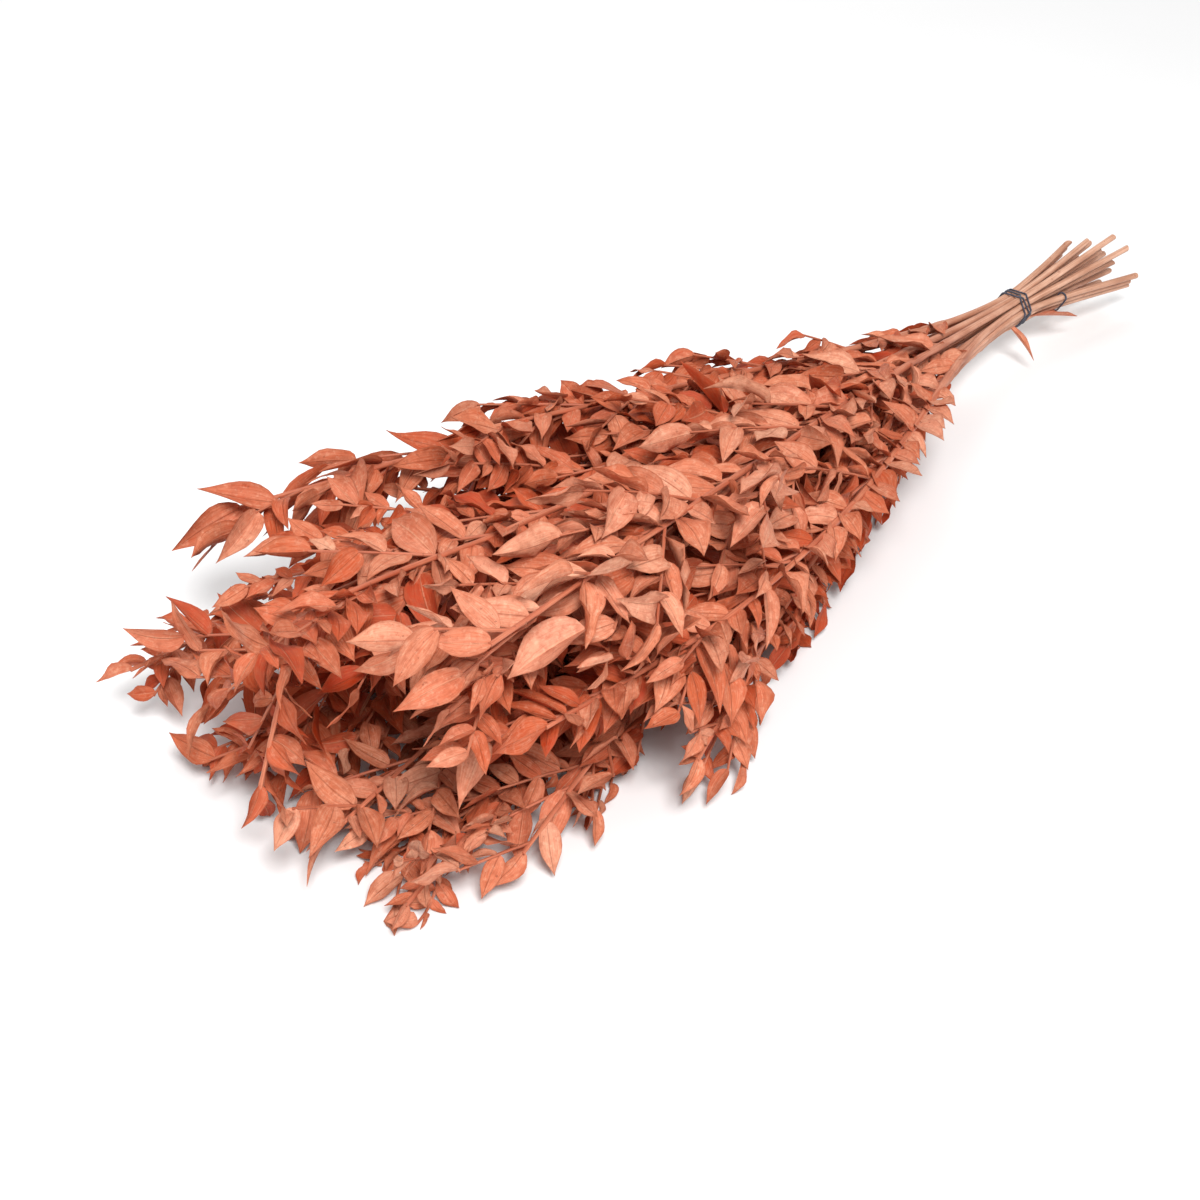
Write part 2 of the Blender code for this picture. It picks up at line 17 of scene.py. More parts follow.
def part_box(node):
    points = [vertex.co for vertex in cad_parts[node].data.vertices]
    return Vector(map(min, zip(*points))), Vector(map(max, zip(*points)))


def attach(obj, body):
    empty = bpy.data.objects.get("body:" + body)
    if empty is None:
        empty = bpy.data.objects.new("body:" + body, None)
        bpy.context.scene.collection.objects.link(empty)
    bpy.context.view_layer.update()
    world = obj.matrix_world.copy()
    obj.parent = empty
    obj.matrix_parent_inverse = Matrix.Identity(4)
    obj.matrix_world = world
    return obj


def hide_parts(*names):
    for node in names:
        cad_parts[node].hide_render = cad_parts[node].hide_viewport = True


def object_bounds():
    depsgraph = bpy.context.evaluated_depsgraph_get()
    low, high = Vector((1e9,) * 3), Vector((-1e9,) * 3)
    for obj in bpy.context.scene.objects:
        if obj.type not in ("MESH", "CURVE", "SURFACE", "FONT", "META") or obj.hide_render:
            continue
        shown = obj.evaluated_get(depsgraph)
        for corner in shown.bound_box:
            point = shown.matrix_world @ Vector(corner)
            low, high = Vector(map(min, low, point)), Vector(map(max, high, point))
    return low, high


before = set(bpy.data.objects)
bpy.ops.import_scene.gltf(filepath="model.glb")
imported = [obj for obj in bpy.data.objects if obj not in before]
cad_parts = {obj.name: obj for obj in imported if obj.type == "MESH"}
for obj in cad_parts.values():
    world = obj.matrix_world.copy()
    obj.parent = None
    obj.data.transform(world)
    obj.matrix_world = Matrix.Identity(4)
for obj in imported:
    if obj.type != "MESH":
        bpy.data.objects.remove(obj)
cad_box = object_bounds()

# The tie and the canes in it
CANE_DIAMETER = 0.0036
SLOT_PITCH = 0.0039
TIE_X = 0.235
TIE_HEIGHT = 0.032
TIE_STRAND = 0.0010
TIE_SWING = 0.0036
TIE_TURNS = 3
LOOP_X = 0.270
LOOP_STRAND = 0.0010
GAP = 0.0003

# How the canes leave the tie
BEND_LENGTH = 0.100
CUT_BEND_LENGTH = 0.020
CUT_LENGTH = 0.100
CUT_SPREAD = 2.75
SWAY_POWER = 3
# The way that a nodding cane's end hangs from its bend
NOD_WAY = (-0.37, 0.0, -0.93)
CANE_TIP_RADIUS = 0.0008
CANE_TAPER = 0.85
# Where the points of a cane's centreline stand, as shares of its reach up to its bend, and in what hangs
CANE_SHARES = (0, 0.10, 0.22, 0.40, 0.60, 0.80, 1)
NOD_SHARES = (0.33, 0.67, 1)

# Twigs
FIRST_TWIG = 0.120
LAST_TWIG = 0.93
TWIG_LENGTH = 0.105
TWIGS_OPEN_BY = 0.30
TWIG_RADIUS = 0.0010
TWIG_TIP_RADIUS = 0.0007
TWIG_CLEARANCE = 0.0015
TWIG_TRIES = 40
TWIG_STEPS = 2
TWIG_ROOT_FREE = 0.012
# How twigs stand to their cane, each a range to draw from: degrees off it by the tie, what opens further out,
# degrees up or down, radians round it, part of the full length, and how a twig bends on along it and droops
TWIG_LEAN = (12, 22)
TWIG_OPENING = 14
TWIG_TILT = (-16, 14)
TWIG_ROLL = (-0.7, 0.7)
TWIG_PART = (0.85, 1.15)
TWIG_CARRY = (0.5, 2.0)
TWIG_DROOP = (0.2, 2.4)

# Leaves
LEAF_THICKNESS = 0.0007
LEAF_SPACING = 0.36
LEAF_RUN = 0.040
LEAF_TRIES = 18
LEAF_CLEARANCE = 0.0012
# The ranges that leaves are drawn from: degrees off their shoot, at its side and at its tip, up or down and
# rolled, length as a part of the stem's, width as a part of length, then curl, fold and twist
LEAF_LEAN = (34, 60)
TIP_LEAN = (-12, 12)
LEAF_TILT = (-24, 14)
LEAF_ROLL = (-32, 32)
LEAF_LENGTH = (0.92, 1.25)
LEAF_WIDTH = (0.39, 0.50)
LEAF_CURL = (-0.25, 0.7)
LEAF_FOLD = (0.12, 0.6)
LEAF_TWIST = (-0.6, 0.6)
# How much smaller leaves are at their shoot's tip, and by the tie
TIP_SHRINK = 0.25
TIE_SHRINK = 0.35
WIDEST_AT = 0.38
OUTLINE_POWER = 0.9
BROAD_LEAF = 0.033
SMALL_LEAF = 0.026
LEAFY_END = 0.50
TIP_SINK = 0.0015
LEAVES_FULL_BY = 0.28

# How finely shoots are sampled and how far round a point the others are looked for
SAMPLE_PITCH = 0.003
SEARCH_RADIUS = 0.008
# The shell that stands for a leaf when the next ones are placed: its rows and how much wider and longer it is
SHELL_SHARES = (0.13, 0.38, 0.68)
SHELL_WIDTH = 1.12
SHELL_TIP = 0.0008

# One row for each cane. row and place are its slot in the tie: rows count up from the middle, and places run
# from the near side, -Y, to the far side. reach is its length from the tie, spread and rise are the angles it
# leaves at, sag is how far its end sinks, nod the length that hangs from a bend, sway how far its end swings
# to +Y, leaf is the length of its leaves, twigs their number, bush the part of their full length that they
# reach, and cut the length that shows past the tie.
Cane = namedtuple("Cane", "row place reach spread rise sag nod sway leaf twigs bush cut")
CANES = (
    Cane(2, -1.0, 0.566, -16.3, 18.0, 0.060, 0.000, 0.022, 0.034, 6, 0.80, 0.090),
    Cane(2, 0.0, 0.617, -6.8, 14.7, 0.069, 0.070, 0.048, 0.028, 6, 0.80, 0.078),
    Cane(2, 1.0, 0.382, 6.6, 15.0, 0.025, 0.000, 0.010, 0.026, 5, 0.70, 0.072),
    Cane(1, -1.5, 0.559, -27.0, 13.1, 0.072, 0.000, 0.112, 0.031, 6, 0.75, 0.098),
    Cane(1, -0.5, 0.540, -11.0, 13.5, 0.055, 0.000, 0.000, 0.025, 7, 1.00, 0.085),
    Cane(1, 0.5, 0.525, 0.0, 12.0, 0.045, 0.000, 0.010, 0.019, 7, 0.90, 0.090),
    Cane(1, 1.5, 0.488, 14.0, 11.8, 0.046, 0.000, 0.000, 0.044, 5, 0.50, 0.076),
    Cane(0, -2.0, 0.462, -19.2, 10.2, 0.066, 0.000, 0.000, 0.024, 6, 0.75, 0.102),
    Cane(0, -1.0, 0.525, -13.4, 8.5, 0.080, 0.000, 0.000, 0.026, 6, 0.60, 0.094),
    Cane(0, 0.0, 0.560, -5.4, 8.5, 0.082, 0.000, 0.000, 0.028, 6, 1.00, 0.100),
    Cane(0, 1.0, 0.552, 3.5, 9.2, 0.064, 0.000, 0.000, 0.030, 6, 1.00, 0.086),
    Cane(0, 2.0, 0.558, 9.5, 8.2, 0.066, 0.000, 0.002, 0.020, 7, 0.55, 0.082),
    Cane(-1, -1.5, 0.348, -20.1, 5.5, 0.019, 0.000, 0.000, 0.024, 5, 0.70, 0.099),
    Cane(-1, -0.5, 0.565, -10.2, 5.5, 0.065, 0.000, 0.000, 0.018, 7, 0.90, 0.100),
    Cane(-1, 0.5, 0.550, -0.4, 6.0, 0.052, 0.000, 0.013, 0.029, 6, 1.00, 0.090),
    Cane(-1, 1.5, 0.450, 13.0, 6.0, 0.050, 0.000, 0.000, 0.025, 5, 0.90, 0.084),
    Cane(-2, -1.0, 0.350, -15.5, 1.5, 0.022, 0.000, 0.000, 0.024, 4, 0.70, 0.101),
    Cane(-2, 0.0, 0.480, -6.0, 1.5, 0.024, 0.000, 0.000, 0.025, 5, 1.00, 0.100),
    Cane(-2, 1.0, 0.430, 7.0, 1.5, 0.024, 0.000, 0.000, 0.025, 5, 1.00, 0.096),
)
# Two dry leaves left on the lowest cane by the tie: distance past the tie, way it points, length and width
STRAY_CANE = 16
STRAY_LEAVES = (
    (0.008, (0.94, -0.30, -0.14), 0.042, 0.0105),
    (-0.009, (0.10, -0.80, -0.60), 0.024, 0.0060),
)
# The bunch's outline: how far tips may stand to each side and above the tie, as parts of their distance from
# it along the bunch. The near side opens by degrees, and once more past a waist.
NEAR_LIMIT = 0.298
NEAR_START = 0.120
NEAR_OPENING = 0.900
NEAR_WAIST = 0.360
NEAR_WIDENING = 0.800
FAR_LIMIT = 0.265
HIGH_LIMIT = 0.240
# The same for the far side and the height together
SUM_LIMIT = 0.370
# The furthest from the tie, and the furthest to the near side, which draws in past a turn
LONGEST_REACH = 0.588
NEAR_SIDE = -0.134
NEAR_TURN = 0.440
NEAR_TAPER = 0.330
# The canes that the elastic's small end loop holds together, by row and place, and how much more they lean
LOOPED = ((0, -2.0), (-1, -1.5), (-2, -1.0))
LOOPED_LEAN = 1.35

UP = Vector((0, 0, 1))
CANE_RADIUS = CANE_DIAMETER / 2
ROW_HEIGHT = SLOT_PITCH * math.sqrt(3) / 2
CELL = 0.030

Shoot = namedtuple("Shoot", "cane name points radii face leaf")
Leaf = namedtuple("Leaf", "root along normal length width curl fold twist")


def slot(row, place):
    """Where a cane passes the tie, from the tie's middle."""
    return Vector((0, place * SLOT_PITCH, row * ROW_HEIGHT))


def eased(distance, bend):
    """A run that starts level and turns to its slope over about one bend length."""
    return math.sqrt(distance * distance + bend * bend) - bend


def leafy_point(cane, distance):
    """A point of the cane's centreline on the leafy side of the tie."""
    hung = max(distance - (cane.reach - cane.nod), 0)
    distance -= hung
    share = distance / cane.reach
    run = eased(distance, BEND_LENGTH)
    spread, rise = math.radians(cane.spread), math.radians(cane.rise)
    side = math.sin(spread) * run + cane.sway * share**SWAY_POWER
    height = math.tan(rise) * run - cane.sag * share**2
    point = Vector((TIE_X - math.cos(spread) * distance, side, TIE_HEIGHT + height))
    point += slot(cane.row, cane.place) + Vector(NOD_WAY) * hung
    point.z = max(point.z, CANE_RADIUS)
    return point


def cut_point(cane, distance):
    """A point of the cane's centreline past the tie, towards its cut end."""
    at = slot(cane.row, cane.place)
    flare = at
    if (cane.row, cane.place) in LOOPED:
        flare = sum((slot(*held) for held in LOOPED), Vector()) / len(LOOPED) * LOOPED_LEAN
    share = eased(distance, CUT_BEND_LENGTH) / eased(CUT_LENGTH, CUT_BEND_LENGTH)
    return Vector((TIE_X + distance, 0, TIE_HEIGHT)) + at + flare * (CUT_SPREAD - 1) * share


def cane_shoot(index):
    """The cane's own centreline, from its cut end to its tip."""
    cane = CANES[index]
    bend = 1 - cane.nod / cane.reach
    shares = [share * bend for share in CANE_SHARES]
    if cane.nod:
        shares += [bend + (1 - bend) * share for share in NOD_SHARES]
    points = [cut_point(cane, cane.cut), cut_point(cane, LOOP_X - TIE_X)]
    points += [leafy_point(cane, cane.reach * share) for share in shares]
    radii = [CANE_RADIUS, CANE_RADIUS]
    radii += [CANE_RADIUS + (CANE_TIP_RADIUS - CANE_RADIUS) * share**CANE_TAPER for share in shares]
    return Shoot(index, f"{index} cane", points, radii, UP, cane.leaf)


def along_shoot(shoot, share):
    """The point and direction at a share of a shoot's length."""
    lengths = [(b - a).length for a, b in zip(shoot.points, shoot.points[1:])]
    left = share * sum(lengths)
    for i, length in enumerate(lengths):
        if left <= length or i == len(lengths) - 1:
            break
        left -= length
    start, end = shoot.points[i], shoot.points[i + 1]
    return start.lerp(end, min(left / length, 1.0)), (end - start).normalized()


def spray_side(along, roll):
    """The spray's face normal and its sideways direction, rolled a little about the cane."""
    side = along.cross(UP).normalized()
    face = side.cross(along).normalized()
    turn = Matrix.Rotation(roll, 3, along)
    return turn @ face, turn @ side


def twig_shoot(stem, number, attempt):
    """One draw of a side twig: its root sits on the cane's centreline."""
    cane = CANES[stem.cane]
    rng = random.Random(f"cane {stem.cane} twig {number} try {attempt}")
    first = FIRST_TWIG / cane.reach
    share = first + (LAST_TWIG - first) * (number + 0.3 + 0.4 * rng.random()) / cane.twigs
    root, along = along_shoot(stem, (share * cane.reach + cane.cut) / (cane.reach + cane.cut))
    opened = min(cane.reach * share / TWIGS_OPEN_BY, 1.0)
    wide = 1 + attempt / TWIG_TRIES
    face, side = spray_side(along, rng.uniform(*TWIG_ROLL) * wide)
    lean = math.radians(rng.uniform(*TWIG_LEAN) + TWIG_OPENING * opened) * (-1) ** math.ceil(number)
    tilt = math.radians(rng.uniform(*TWIG_TILT) * wide)
    start = (along * math.cos(lean) + side * math.sin(lean)).normalized()
    start = (start * math.cos(tilt) + face * math.sin(tilt)).normalized()
    length = TWIG_LENGTH * max(1.1 * opened - 0.55 * share, 0.5) * rng.uniform(*TWIG_PART)
    length *= cane.bush * (1 - 0.4 * attempt / TWIG_TRIES)
    bend = along * rng.uniform(*TWIG_CARRY) - UP * rng.uniform(*TWIG_DROOP)
    points, radii = [], []
    for i in range(TWIG_STEPS + 1):
        run = length * i / TWIG_STEPS
        point = root + start * run + bend * run * run / 2
        point.z = max(point.z, TWIG_RADIUS + GAP)
        points.append(point)
        radii.append(TWIG_RADIUS + (TWIG_TIP_RADIUS - TWIG_RADIUS) * i / TWIG_STEPS)
    return Shoot(stem.cane, f"{stem.cane} twig {number}", points, radii, face, cane.leaf)


def in_bunch(tip):
    """Whether a twig's or leaf's tip stays inside the bunch's outline."""
    reach = TIE_X - tip.x
    side, height = tip.y / reach, (tip.z - TIE_HEIGHT) / reach
    widened = NEAR_LIMIT + NEAR_WIDENING * max(reach - NEAR_WAIST, 0)
    near_limit = min(widened, NEAR_START + NEAR_OPENING * reach)
    within = -near_limit < side < FAR_LIMIT and height < HIGH_LIMIT and side + height < SUM_LIMIT
    near = NEAR_SIDE + max(reach - NEAR_TURN, 0) * NEAR_TAPER
    return within and math.hypot(reach, tip.y) < LONGEST_REACH and tip.y > near


def samples(shoot, pitch):
    """Points close together along a shoot, each with the radius there."""
    found = []
    for i in range(len(shoot.points) - 1):
        start, end = shoot.points[i], shoot.points[i + 1]
        count = max(1, math.ceil((end - start).length / pitch))
        for k in range(count):
            share = k / count
            radius = shoot.radii[i] + (shoot.radii[i + 1] - shoot.radii[i]) * share
            found.append((start.lerp(end, share), radius))
    found.append((shoot.points[-1], shoot.radii[-1]))
    return found


def clear_of(shoot, placed):
    """Whether a twig stays clear of the shoots placed so far, past the root that joins its own cane."""
    origin = shoot.points[0]
    for at, radius in samples(shoot, SAMPLE_PITCH):
        if (at - origin).length < TWIG_ROOT_FREE:
            continue
        for _, number, distance in placed["tree"].find_range(at, SEARCH_RADIUS):
            if distance < radius + placed["radii"][number] + TWIG_CLEARANCE:
                return False
    return True


def grow_tree(shoots):
    """A search tree of every shoot's points."""
    found = [pair for shoot in shoots for pair in samples(shoot, SAMPLE_PITCH)]
    tree = KDTree(len(found))
    for i, (at, _) in enumerate(found):
        tree.insert(at, i)
    tree.balance()
    return {"tree": tree, "radii": [radius for _, radius in found]}


def all_shoots():
    """Every cane and twig, each twig drawn again until it clears the others."""
    stems = [cane_shoot(i) for i in range(len(CANES))]
    twigs = []
    for stem in stems:
        for number in range(CANES[stem.cane].twigs):
            placed = grow_tree(stems + twigs)
            for attempt in range(TWIG_TRIES):
                twig = twig_shoot(stem, number, attempt)
                if in_bunch(twig.points[-1]) and clear_of(twig, placed):
                    twigs.append(twig)
                    break
    return stems, twigs


def outline(share):
    """Half the leaf's width at a share of its length, as a part of its greatest half width."""
    power = math.log(0.5) / math.log(WIDEST_AT)
    return max(math.sin(math.pi * share**power), 0) ** OUTLINE_POWER


def leaf_point(leaf, share, across, lift=0.0):
    """A point of the leaf's curved face; lift raises it off the face."""
    side = leaf.along.cross(leaf.normal)
    turned = side * math.cos(leaf.twist * share) + leaf.normal * math.sin(leaf.twist * share)
    out = turned.cross(leaf.along)
    half = leaf.width / 2 * outline(share)
    point = leaf.root + leaf.along * leaf.length * share * (1 - (leaf.curl * share) ** 2 / 6)
    point -= leaf.normal * leaf.length * leaf.curl * share**2 / 2
    point += turned * across * half + out * (leaf.fold * abs(across) * half + lift)
    point.z = max(point.z, LEAF_THICKNESS / 2 + lift)
    return point


def draw_leaf(shoot, number, count, attempt):
    """One draw of a leaf. Number 0 is the leaf at the shoot's tip; the others stand in two ranks."""
    rng = random.Random(f"{shoot.name} leaf {number} try {attempt}")
    wide = 1 + 1.2 * attempt / LEAF_TRIES
    share = 1.0 if number == 0 else 1 - number / (count + 0.5)
    root, along = along_shoot(shoot, share)
    if number == 0:
        root = root - along * TIP_SINK
    side = along.cross(shoot.face).normalized()
    face = side.cross(along).normalized()
    lean = math.radians(rng.uniform(*LEAF_LEAN) if number else rng.uniform(*TIP_LEAN))
    lean *= 1 if number % 2 else -1
    tilt = math.radians(rng.uniform(*LEAF_TILT) * wide)
    pointing = along * math.cos(lean) + side * math.sin(lean)
    pointing = (pointing * math.cos(tilt) + face * math.sin(tilt)).normalized()
    roll = Matrix.Rotation(math.radians(rng.uniform(*LEAF_ROLL) * wide), 3, pointing)
    normal = roll @ pointing.cross(side.cross(pointing) if number == 0 else along).normalized()
    if normal.dot(face) < 0:
        normal = -normal
    opened = min((TIE_X - root.x) / LEAVES_FULL_BY, 1.0)
    length = shoot.leaf * rng.uniform(*LEAF_LENGTH)
    length *= (1 - TIP_SHRINK * share) * (1 - TIE_SHRINK * (1 - opened))
    width = length * rng.uniform(*LEAF_WIDTH)
    curl, fold, twist = rng.uniform(*LEAF_CURL), rng.uniform(*LEAF_FOLD), rng.uniform(*LEAF_TWIST)
    return Leaf(root, pointing, normal, length, width, curl, fold, twist)


class Crowd:
    """The solids placed so far, sorted into cubes of space, to find what a new one would cross."""

    def __init__(self):
        self.cubes = {}

    def near(self, points):
        low = [math.floor(min(p[i] for p in points) / CELL) for i in range(3)]
        high = [math.floor(max(p[i] for p in points) / CELL) for i in range(3)]
        for x in range(low[0], high[0] + 1):
            for y in range(low[1], high[1] + 1):
                for z in range(low[2], high[2] + 1):
                    yield (x, y, z)

    def add(self, owner, points, faces):
        body = (owner, BVHTree.FromPolygons(points, faces))
        for cube in self.near(points):
            self.cubes.setdefault(cube, []).append(body)

    def crosses(self, owner, points, faces):
        tree = BVHTree.FromPolygons(points, faces)
        tried = set()
        for cube in self.near(points):
            for body in self.cubes.get(cube, ()):
                if body[0] == owner or id(body) in tried:
                    continue
                tried.add(id(body))
                if body[1].overlap(tree):
                    return True
        return False


def rod(start, end, start_radius, end_radius):
    """A four-sided rod between two points."""
    along = (end - start).normalized()
    side = along.orthogonal().normalized()
    other = along.cross(side)
    ring = [side, other, -side, -other]
    points = [start + way * start_radius * 1.3 for way in ring]
    points += [end + way * end_radius * 1.3 for way in ring]
    faces = [(i, (i + 1) % 4, (i + 1) % 4 + 4, i + 4) for i in range(4)]
    return points, faces + [(0, 1, 2, 3), (4, 5, 6, 7)]


def add_shoots(crowd, shoots):
    for shoot in shoots:
        pairs = list(zip(shoot.points, shoot.radii))
        for (start, near_radius), (end, far_radius) in zip(pairs, pairs[1:]):
            crowd.add(shoot.name, *rod(start, end, near_radius + GAP, far_radius + GAP))


def envelope(leaf):
    """A closed shell a little thicker and wider than the leaf, from just past its root to its tip."""
    lift = LEAF_THICKNESS / 2 + LEAF_CLEARANCE / 2
    points = []
    for level in (-lift, lift):
        for share in SHELL_SHARES:
            points += [leaf_point(leaf, share, across, level) for across in (-SHELL_WIDTH, 0, SHELL_WIDTH)]
        points.append(leaf_point(leaf, 1.0, 0, level) + leaf.along * SHELL_TIP)
    faces = []
    for first in (0, 10):
        for row in (0, 3):
            for k in (0, 1):
                at = first + row + k
                faces.append((at, at + 1, at + 4, at + 3))
        faces += [(first + 6, first + 7, first + 9), (first + 7, first + 8, first + 9)]
    edge = (0, 1, 2, 5, 8, 9, 6, 3)
    faces += [(a, b, b + 10, a + 10) for a, b in zip(edge, edge[1:] + edge[:1])]
    return points, faces


def place_leaf(crowd, shoot, number, count):
    """The first draw of a leaf that clears everything placed so far, or nothing."""
    for attempt in range(LEAF_TRIES):
        leaf = draw_leaf(shoot, number, count, attempt)
        points, faces = envelope(leaf)
        if in_bunch(leaf_point(leaf, 1, 0)) and not crowd.crosses(shoot.name, points, faces):
            crowd.add(f"{shoot.name} leaf {number}", points, faces)
            return leaf
    return None


def leaf_count(shoot):
    """How many leaves stand along a shoot, besides the one at its tip."""
    length = sum((b - a).length for a, b in zip(shoot.points, shoot.points[1:]))
    return int(length / (shoot.leaf * LEAF_SPACING))


def stray_leaves(stems):
    """The leaves left by the tie, numbered below the others."""
    found = []
    for i, (distance, way, length, width) in enumerate(STRAY_LEAVES):
        cane = CANES[STRAY_CANE]
        root = cut_point(cane, distance) if distance > 0 else leafy_point(cane, -distance)
        along = Vector(way).normalized()
        normal = along.cross(UP.cross(along)).normalized()
        found.append((stems[STRAY_CANE], -1 - i, Leaf(root, along, normal, length, width, 0.2, 0.35, 0.5)))
    return found


def placed_leaves(stems, twigs):
    """(shoot, number, leaf) for every shoot: the tips' leaves first, then one about every LEAF_RUN."""
    crowd = Crowd()
    add_shoots(crowd, stems + twigs)
    found = stray_leaves(stems)
    for shoot in stems + twigs:
        leaf = place_leaf(crowd, shoot, 0, leaf_count(shoot))
        if leaf:
            found.append((shoot, 0, leaf))
    for shoot in stems + twigs:
        count = leaf_count(shoot)
        top = count if "twig" in shoot.name else int(count * LEAFY_END)
        step = max(2, round(LEAF_RUN / (shoot.leaf * LEAF_SPACING)))
        for number in range(step, top + 1, step):
            leaf = place_leaf(crowd, shoot, number, count)
            if leaf:
                found.append((shoot, number, leaf))
    return crowd, found


# The looks, in metres unless a line says otherwise
FINE_THICKNESS = 0.00040
LEAF_ROWS = (0.04, 0.12, 0.23, 0.36, 0.49, 0.62, 0.74, 0.85, 0.94)
LEAF_COLUMNS = (-1.0, -0.55, 0.0, 0.55, 1.0)
FINE_POWER = 0.72
POINT_FROM = 0.55
POINT_DRAW = 0.80
FILL_END = 0.72
FILL_SIZE = (0.76, 1.10)
SMALL_PART = 0.72
SMALL_NUMBERS = 1000
EDGE_CANES = (3, 7, 12)
EDGE_PART = 0.82
EDGE_FROM = 0.135
EDGE_NUMBERS = 1.5
EDGE_TURNS = (math.radians(14), math.radians(-50))
CORE_LENGTH = 0.75
CORE_WIDTH = 0.5
BOX_MARGIN = 0.003
RAGGED_REACH = 0.562
RAGGED_SIDE = -0.06
PARTED_REACH = (0.42, 0.52)
PARTED_SIDE = (-0.275, -0.225)
PARTED_HEIGHT = 0.05
FINE_TWIGS = 3.0
FINE_TWIG = 0.78
CANE_SIDES = 9
CANE_STEPS = 10
TWIG_SIDES = 6
NODE_SWELL = 0.28
NODE_REACH = 0.0035
NECK_SWELL = 0.24
NECK_AT = 0.085
NECK_REACH = 0.045
CUT_SLANT = (0.1, 1.0)
CUT_PITH = 0.62
CUT_LIP = 0.00012
CUT_HOLLOW = 0.00030
BARE_SHARE = 0.4
# Painted shade and painted light on the leaves: leaves are counted round a point this far off each leaf, up and
# towards the key light and camera, within this reach; this many leaves give full painted shade, which takes this
# much off the leaf's tone
PAINTED_LIGHT_WAY = Vector((-0.014, -0.012, 0.024))
PAINTED_SHADE_REACH = 0.028
PAINTED_SHADE_FULL = 34
PAINTED_SHADE_DEPTH = 0.55
TONE_SPREAD = 0.13
DYE_RUN = 0.17
# A painted light lift added to every leaf's tone, which the painted shade takes back from covered leaves
PAINTED_LIGHT_LIFT = 0.12
STRAND_SIDES = 10

# The camera, matched to the photo
CAMERA_PLACE = (-0.6995, -0.5266, 0.5385)
CAMERA_TURN = -48.0
CAMERA_RISE = 34.0
CAMERA_LENS = 60.9
FLOOR_SIZE = 8.0


class Sheet:
    """Points, faces and what each point carries, gathered into one mesh."""

    def __init__(self, shift):
        self.shift = shift
        self.points = []
        self.faces = []
        self.kinds = []
        self.coords = []
        self.tones = []
        self.tints = []

    def add(self, points, faces, kind, coords, tone, tints):
        first = len(self.points)
        self.points += points
        self.faces += [tuple(first + i for i in face) for face in faces]
        self.kinds += [kind] * len(faces)
        self.coords += coords
        self.tones += [tone] * len(points)
        self.tints += tints

    def build(self, name, materials):
        mesh = bpy.data.meshes.new(name)
        mesh.from_pydata([point + self.shift for point in self.points], [], self.faces)
        for material in materials:
            mesh.materials.append(material)
        mesh.polygons.foreach_set("material_index", self.kinds)
        layer = mesh.uv_layers.new(name="along_across")
        for loop in mesh.loops:
            layer.data[loop.index].uv = self.coords[loop.vertex_index]
        for label, values in (("tone", self.tones), ("tint", self.tints)):
            mesh.attributes.new(label, "FLOAT", "POINT").data.foreach_set("value", values)
        mesh.shade_smooth()
        mesh.set_sharp_from_angle(angle=math.radians(60))
        made = bpy.data.objects.new(name, mesh)
        bpy.context.scene.collection.objects.link(made)
        return made


def smooth_line(points, values, steps):
    """A rounded line through the points, with a value that goes with each."""
    line, carried = [], []
    for i in range(len(points) - 1):
        before, start = points[max(i - 1, 0)], points[i]
        end, after = points[i + 1], points[min(i + 2, len(points) - 1)]
        span = (end - start).length
        lead = (end - before).normalized() * span
        trail = (after - start).normalized() * span
        for k in range(steps):
            t = k / steps
            h1, h2 = 2 * t**3 - 3 * t**2 + 1, t**3 - 2 * t**2 + t
            h3, h4 = -2 * t**3 + 3 * t**2, t**3 - t**2
            line.append(start * h1 + lead * h2 + end * h3 + trail * h4)
            carried.append(values[i] + (values[i + 1] - values[i]) * t)
    return line + [points[-1]], carried + [values[-1]]


def rod_mesh(sheet, line, radii, sides, kinds, tone, tints, closed=False, slant=(0.0, 0.0)):
    """A round rod swept along a line, with its ends closed by a slightly hollowed cap unless it is a ring.

    slant is how far, in radii, the first end's cut leans, and the side that it leans to.
    """
    points, coords, faces = [], [], []
    across = None
    travelled = 0.0
    count = len(line)
    for i, at in enumerate(line):
        before = line[i - 1] if i or closed else line[0]
        after = line[(i + 1) % count] if i < count - 1 or closed else line[-1]
        along = (after - before).normalized()
        if across is None:
            across = along.cross(Vector((0.3, 0.2, 0.93))).normalized()
        across = (across - along * across.dot(along)).normalized()
        other = along.cross(across)
        for k in range(sides):
            angle = 2 * math.pi * k / sides
            point = at + (across * math.cos(angle) + other * math.sin(angle)) * radii[i]
            if i == 0:
                point += along * radii[i] * slant[0] * (1 + math.cos(angle - slant[1]))
            points.append(point)
            coords.append((travelled, k / sides if k * 2 <= sides else 1 - k / sides))
        if i < count - 1:
            travelled += (line[i + 1] - at).length
    rings = count if closed else count - 1
    for i in range(rings):
        for k in range(sides):
            a, b = i * sides + k, i * sides + (k + 1) % sides
            c, d = ((i + 1) % count) * sides + (k + 1) % sides, ((i + 1) % count) * sides + k
            faces.append((a, b, c, d))
    sheet.add(points, faces, kinds[0], coords, tone, [tint for tint in tints for _ in range(sides)])
    if closed:
        return
    for end, inward, kind in ((0, 1, kinds[1]), (count - 1, -1, kinds[0])):
        along = (line[end] - line[end + inward]).normalized()
        ring = [points[end * sides + k] for k in range(sides)]
        middle = sum(ring, Vector()) / sides
        lip = [middle.lerp(p, CUT_PITH) + along * CUT_LIP for p in ring]
        hollow = middle - along * CUT_HOLLOW
        cap = [(k, (k + 1) % sides, (k + 1) % sides + sides, k + sides) for k in range(sides)]
        cap += [(k + sides, (k + 1) % sides + sides, 2 * sides) for k in range(sides)]
        if inward == 1:
            cap = [tuple(reversed(face)) for face in cap]
        places = [(1.0, 0.5)] * sides + [(CUT_PITH, 0.5)] * sides + [(0.0, 0.5)]
        sheet.add(ring + lip + [hollow], cap, kind, places, tone, [tints[end]] * len(places))


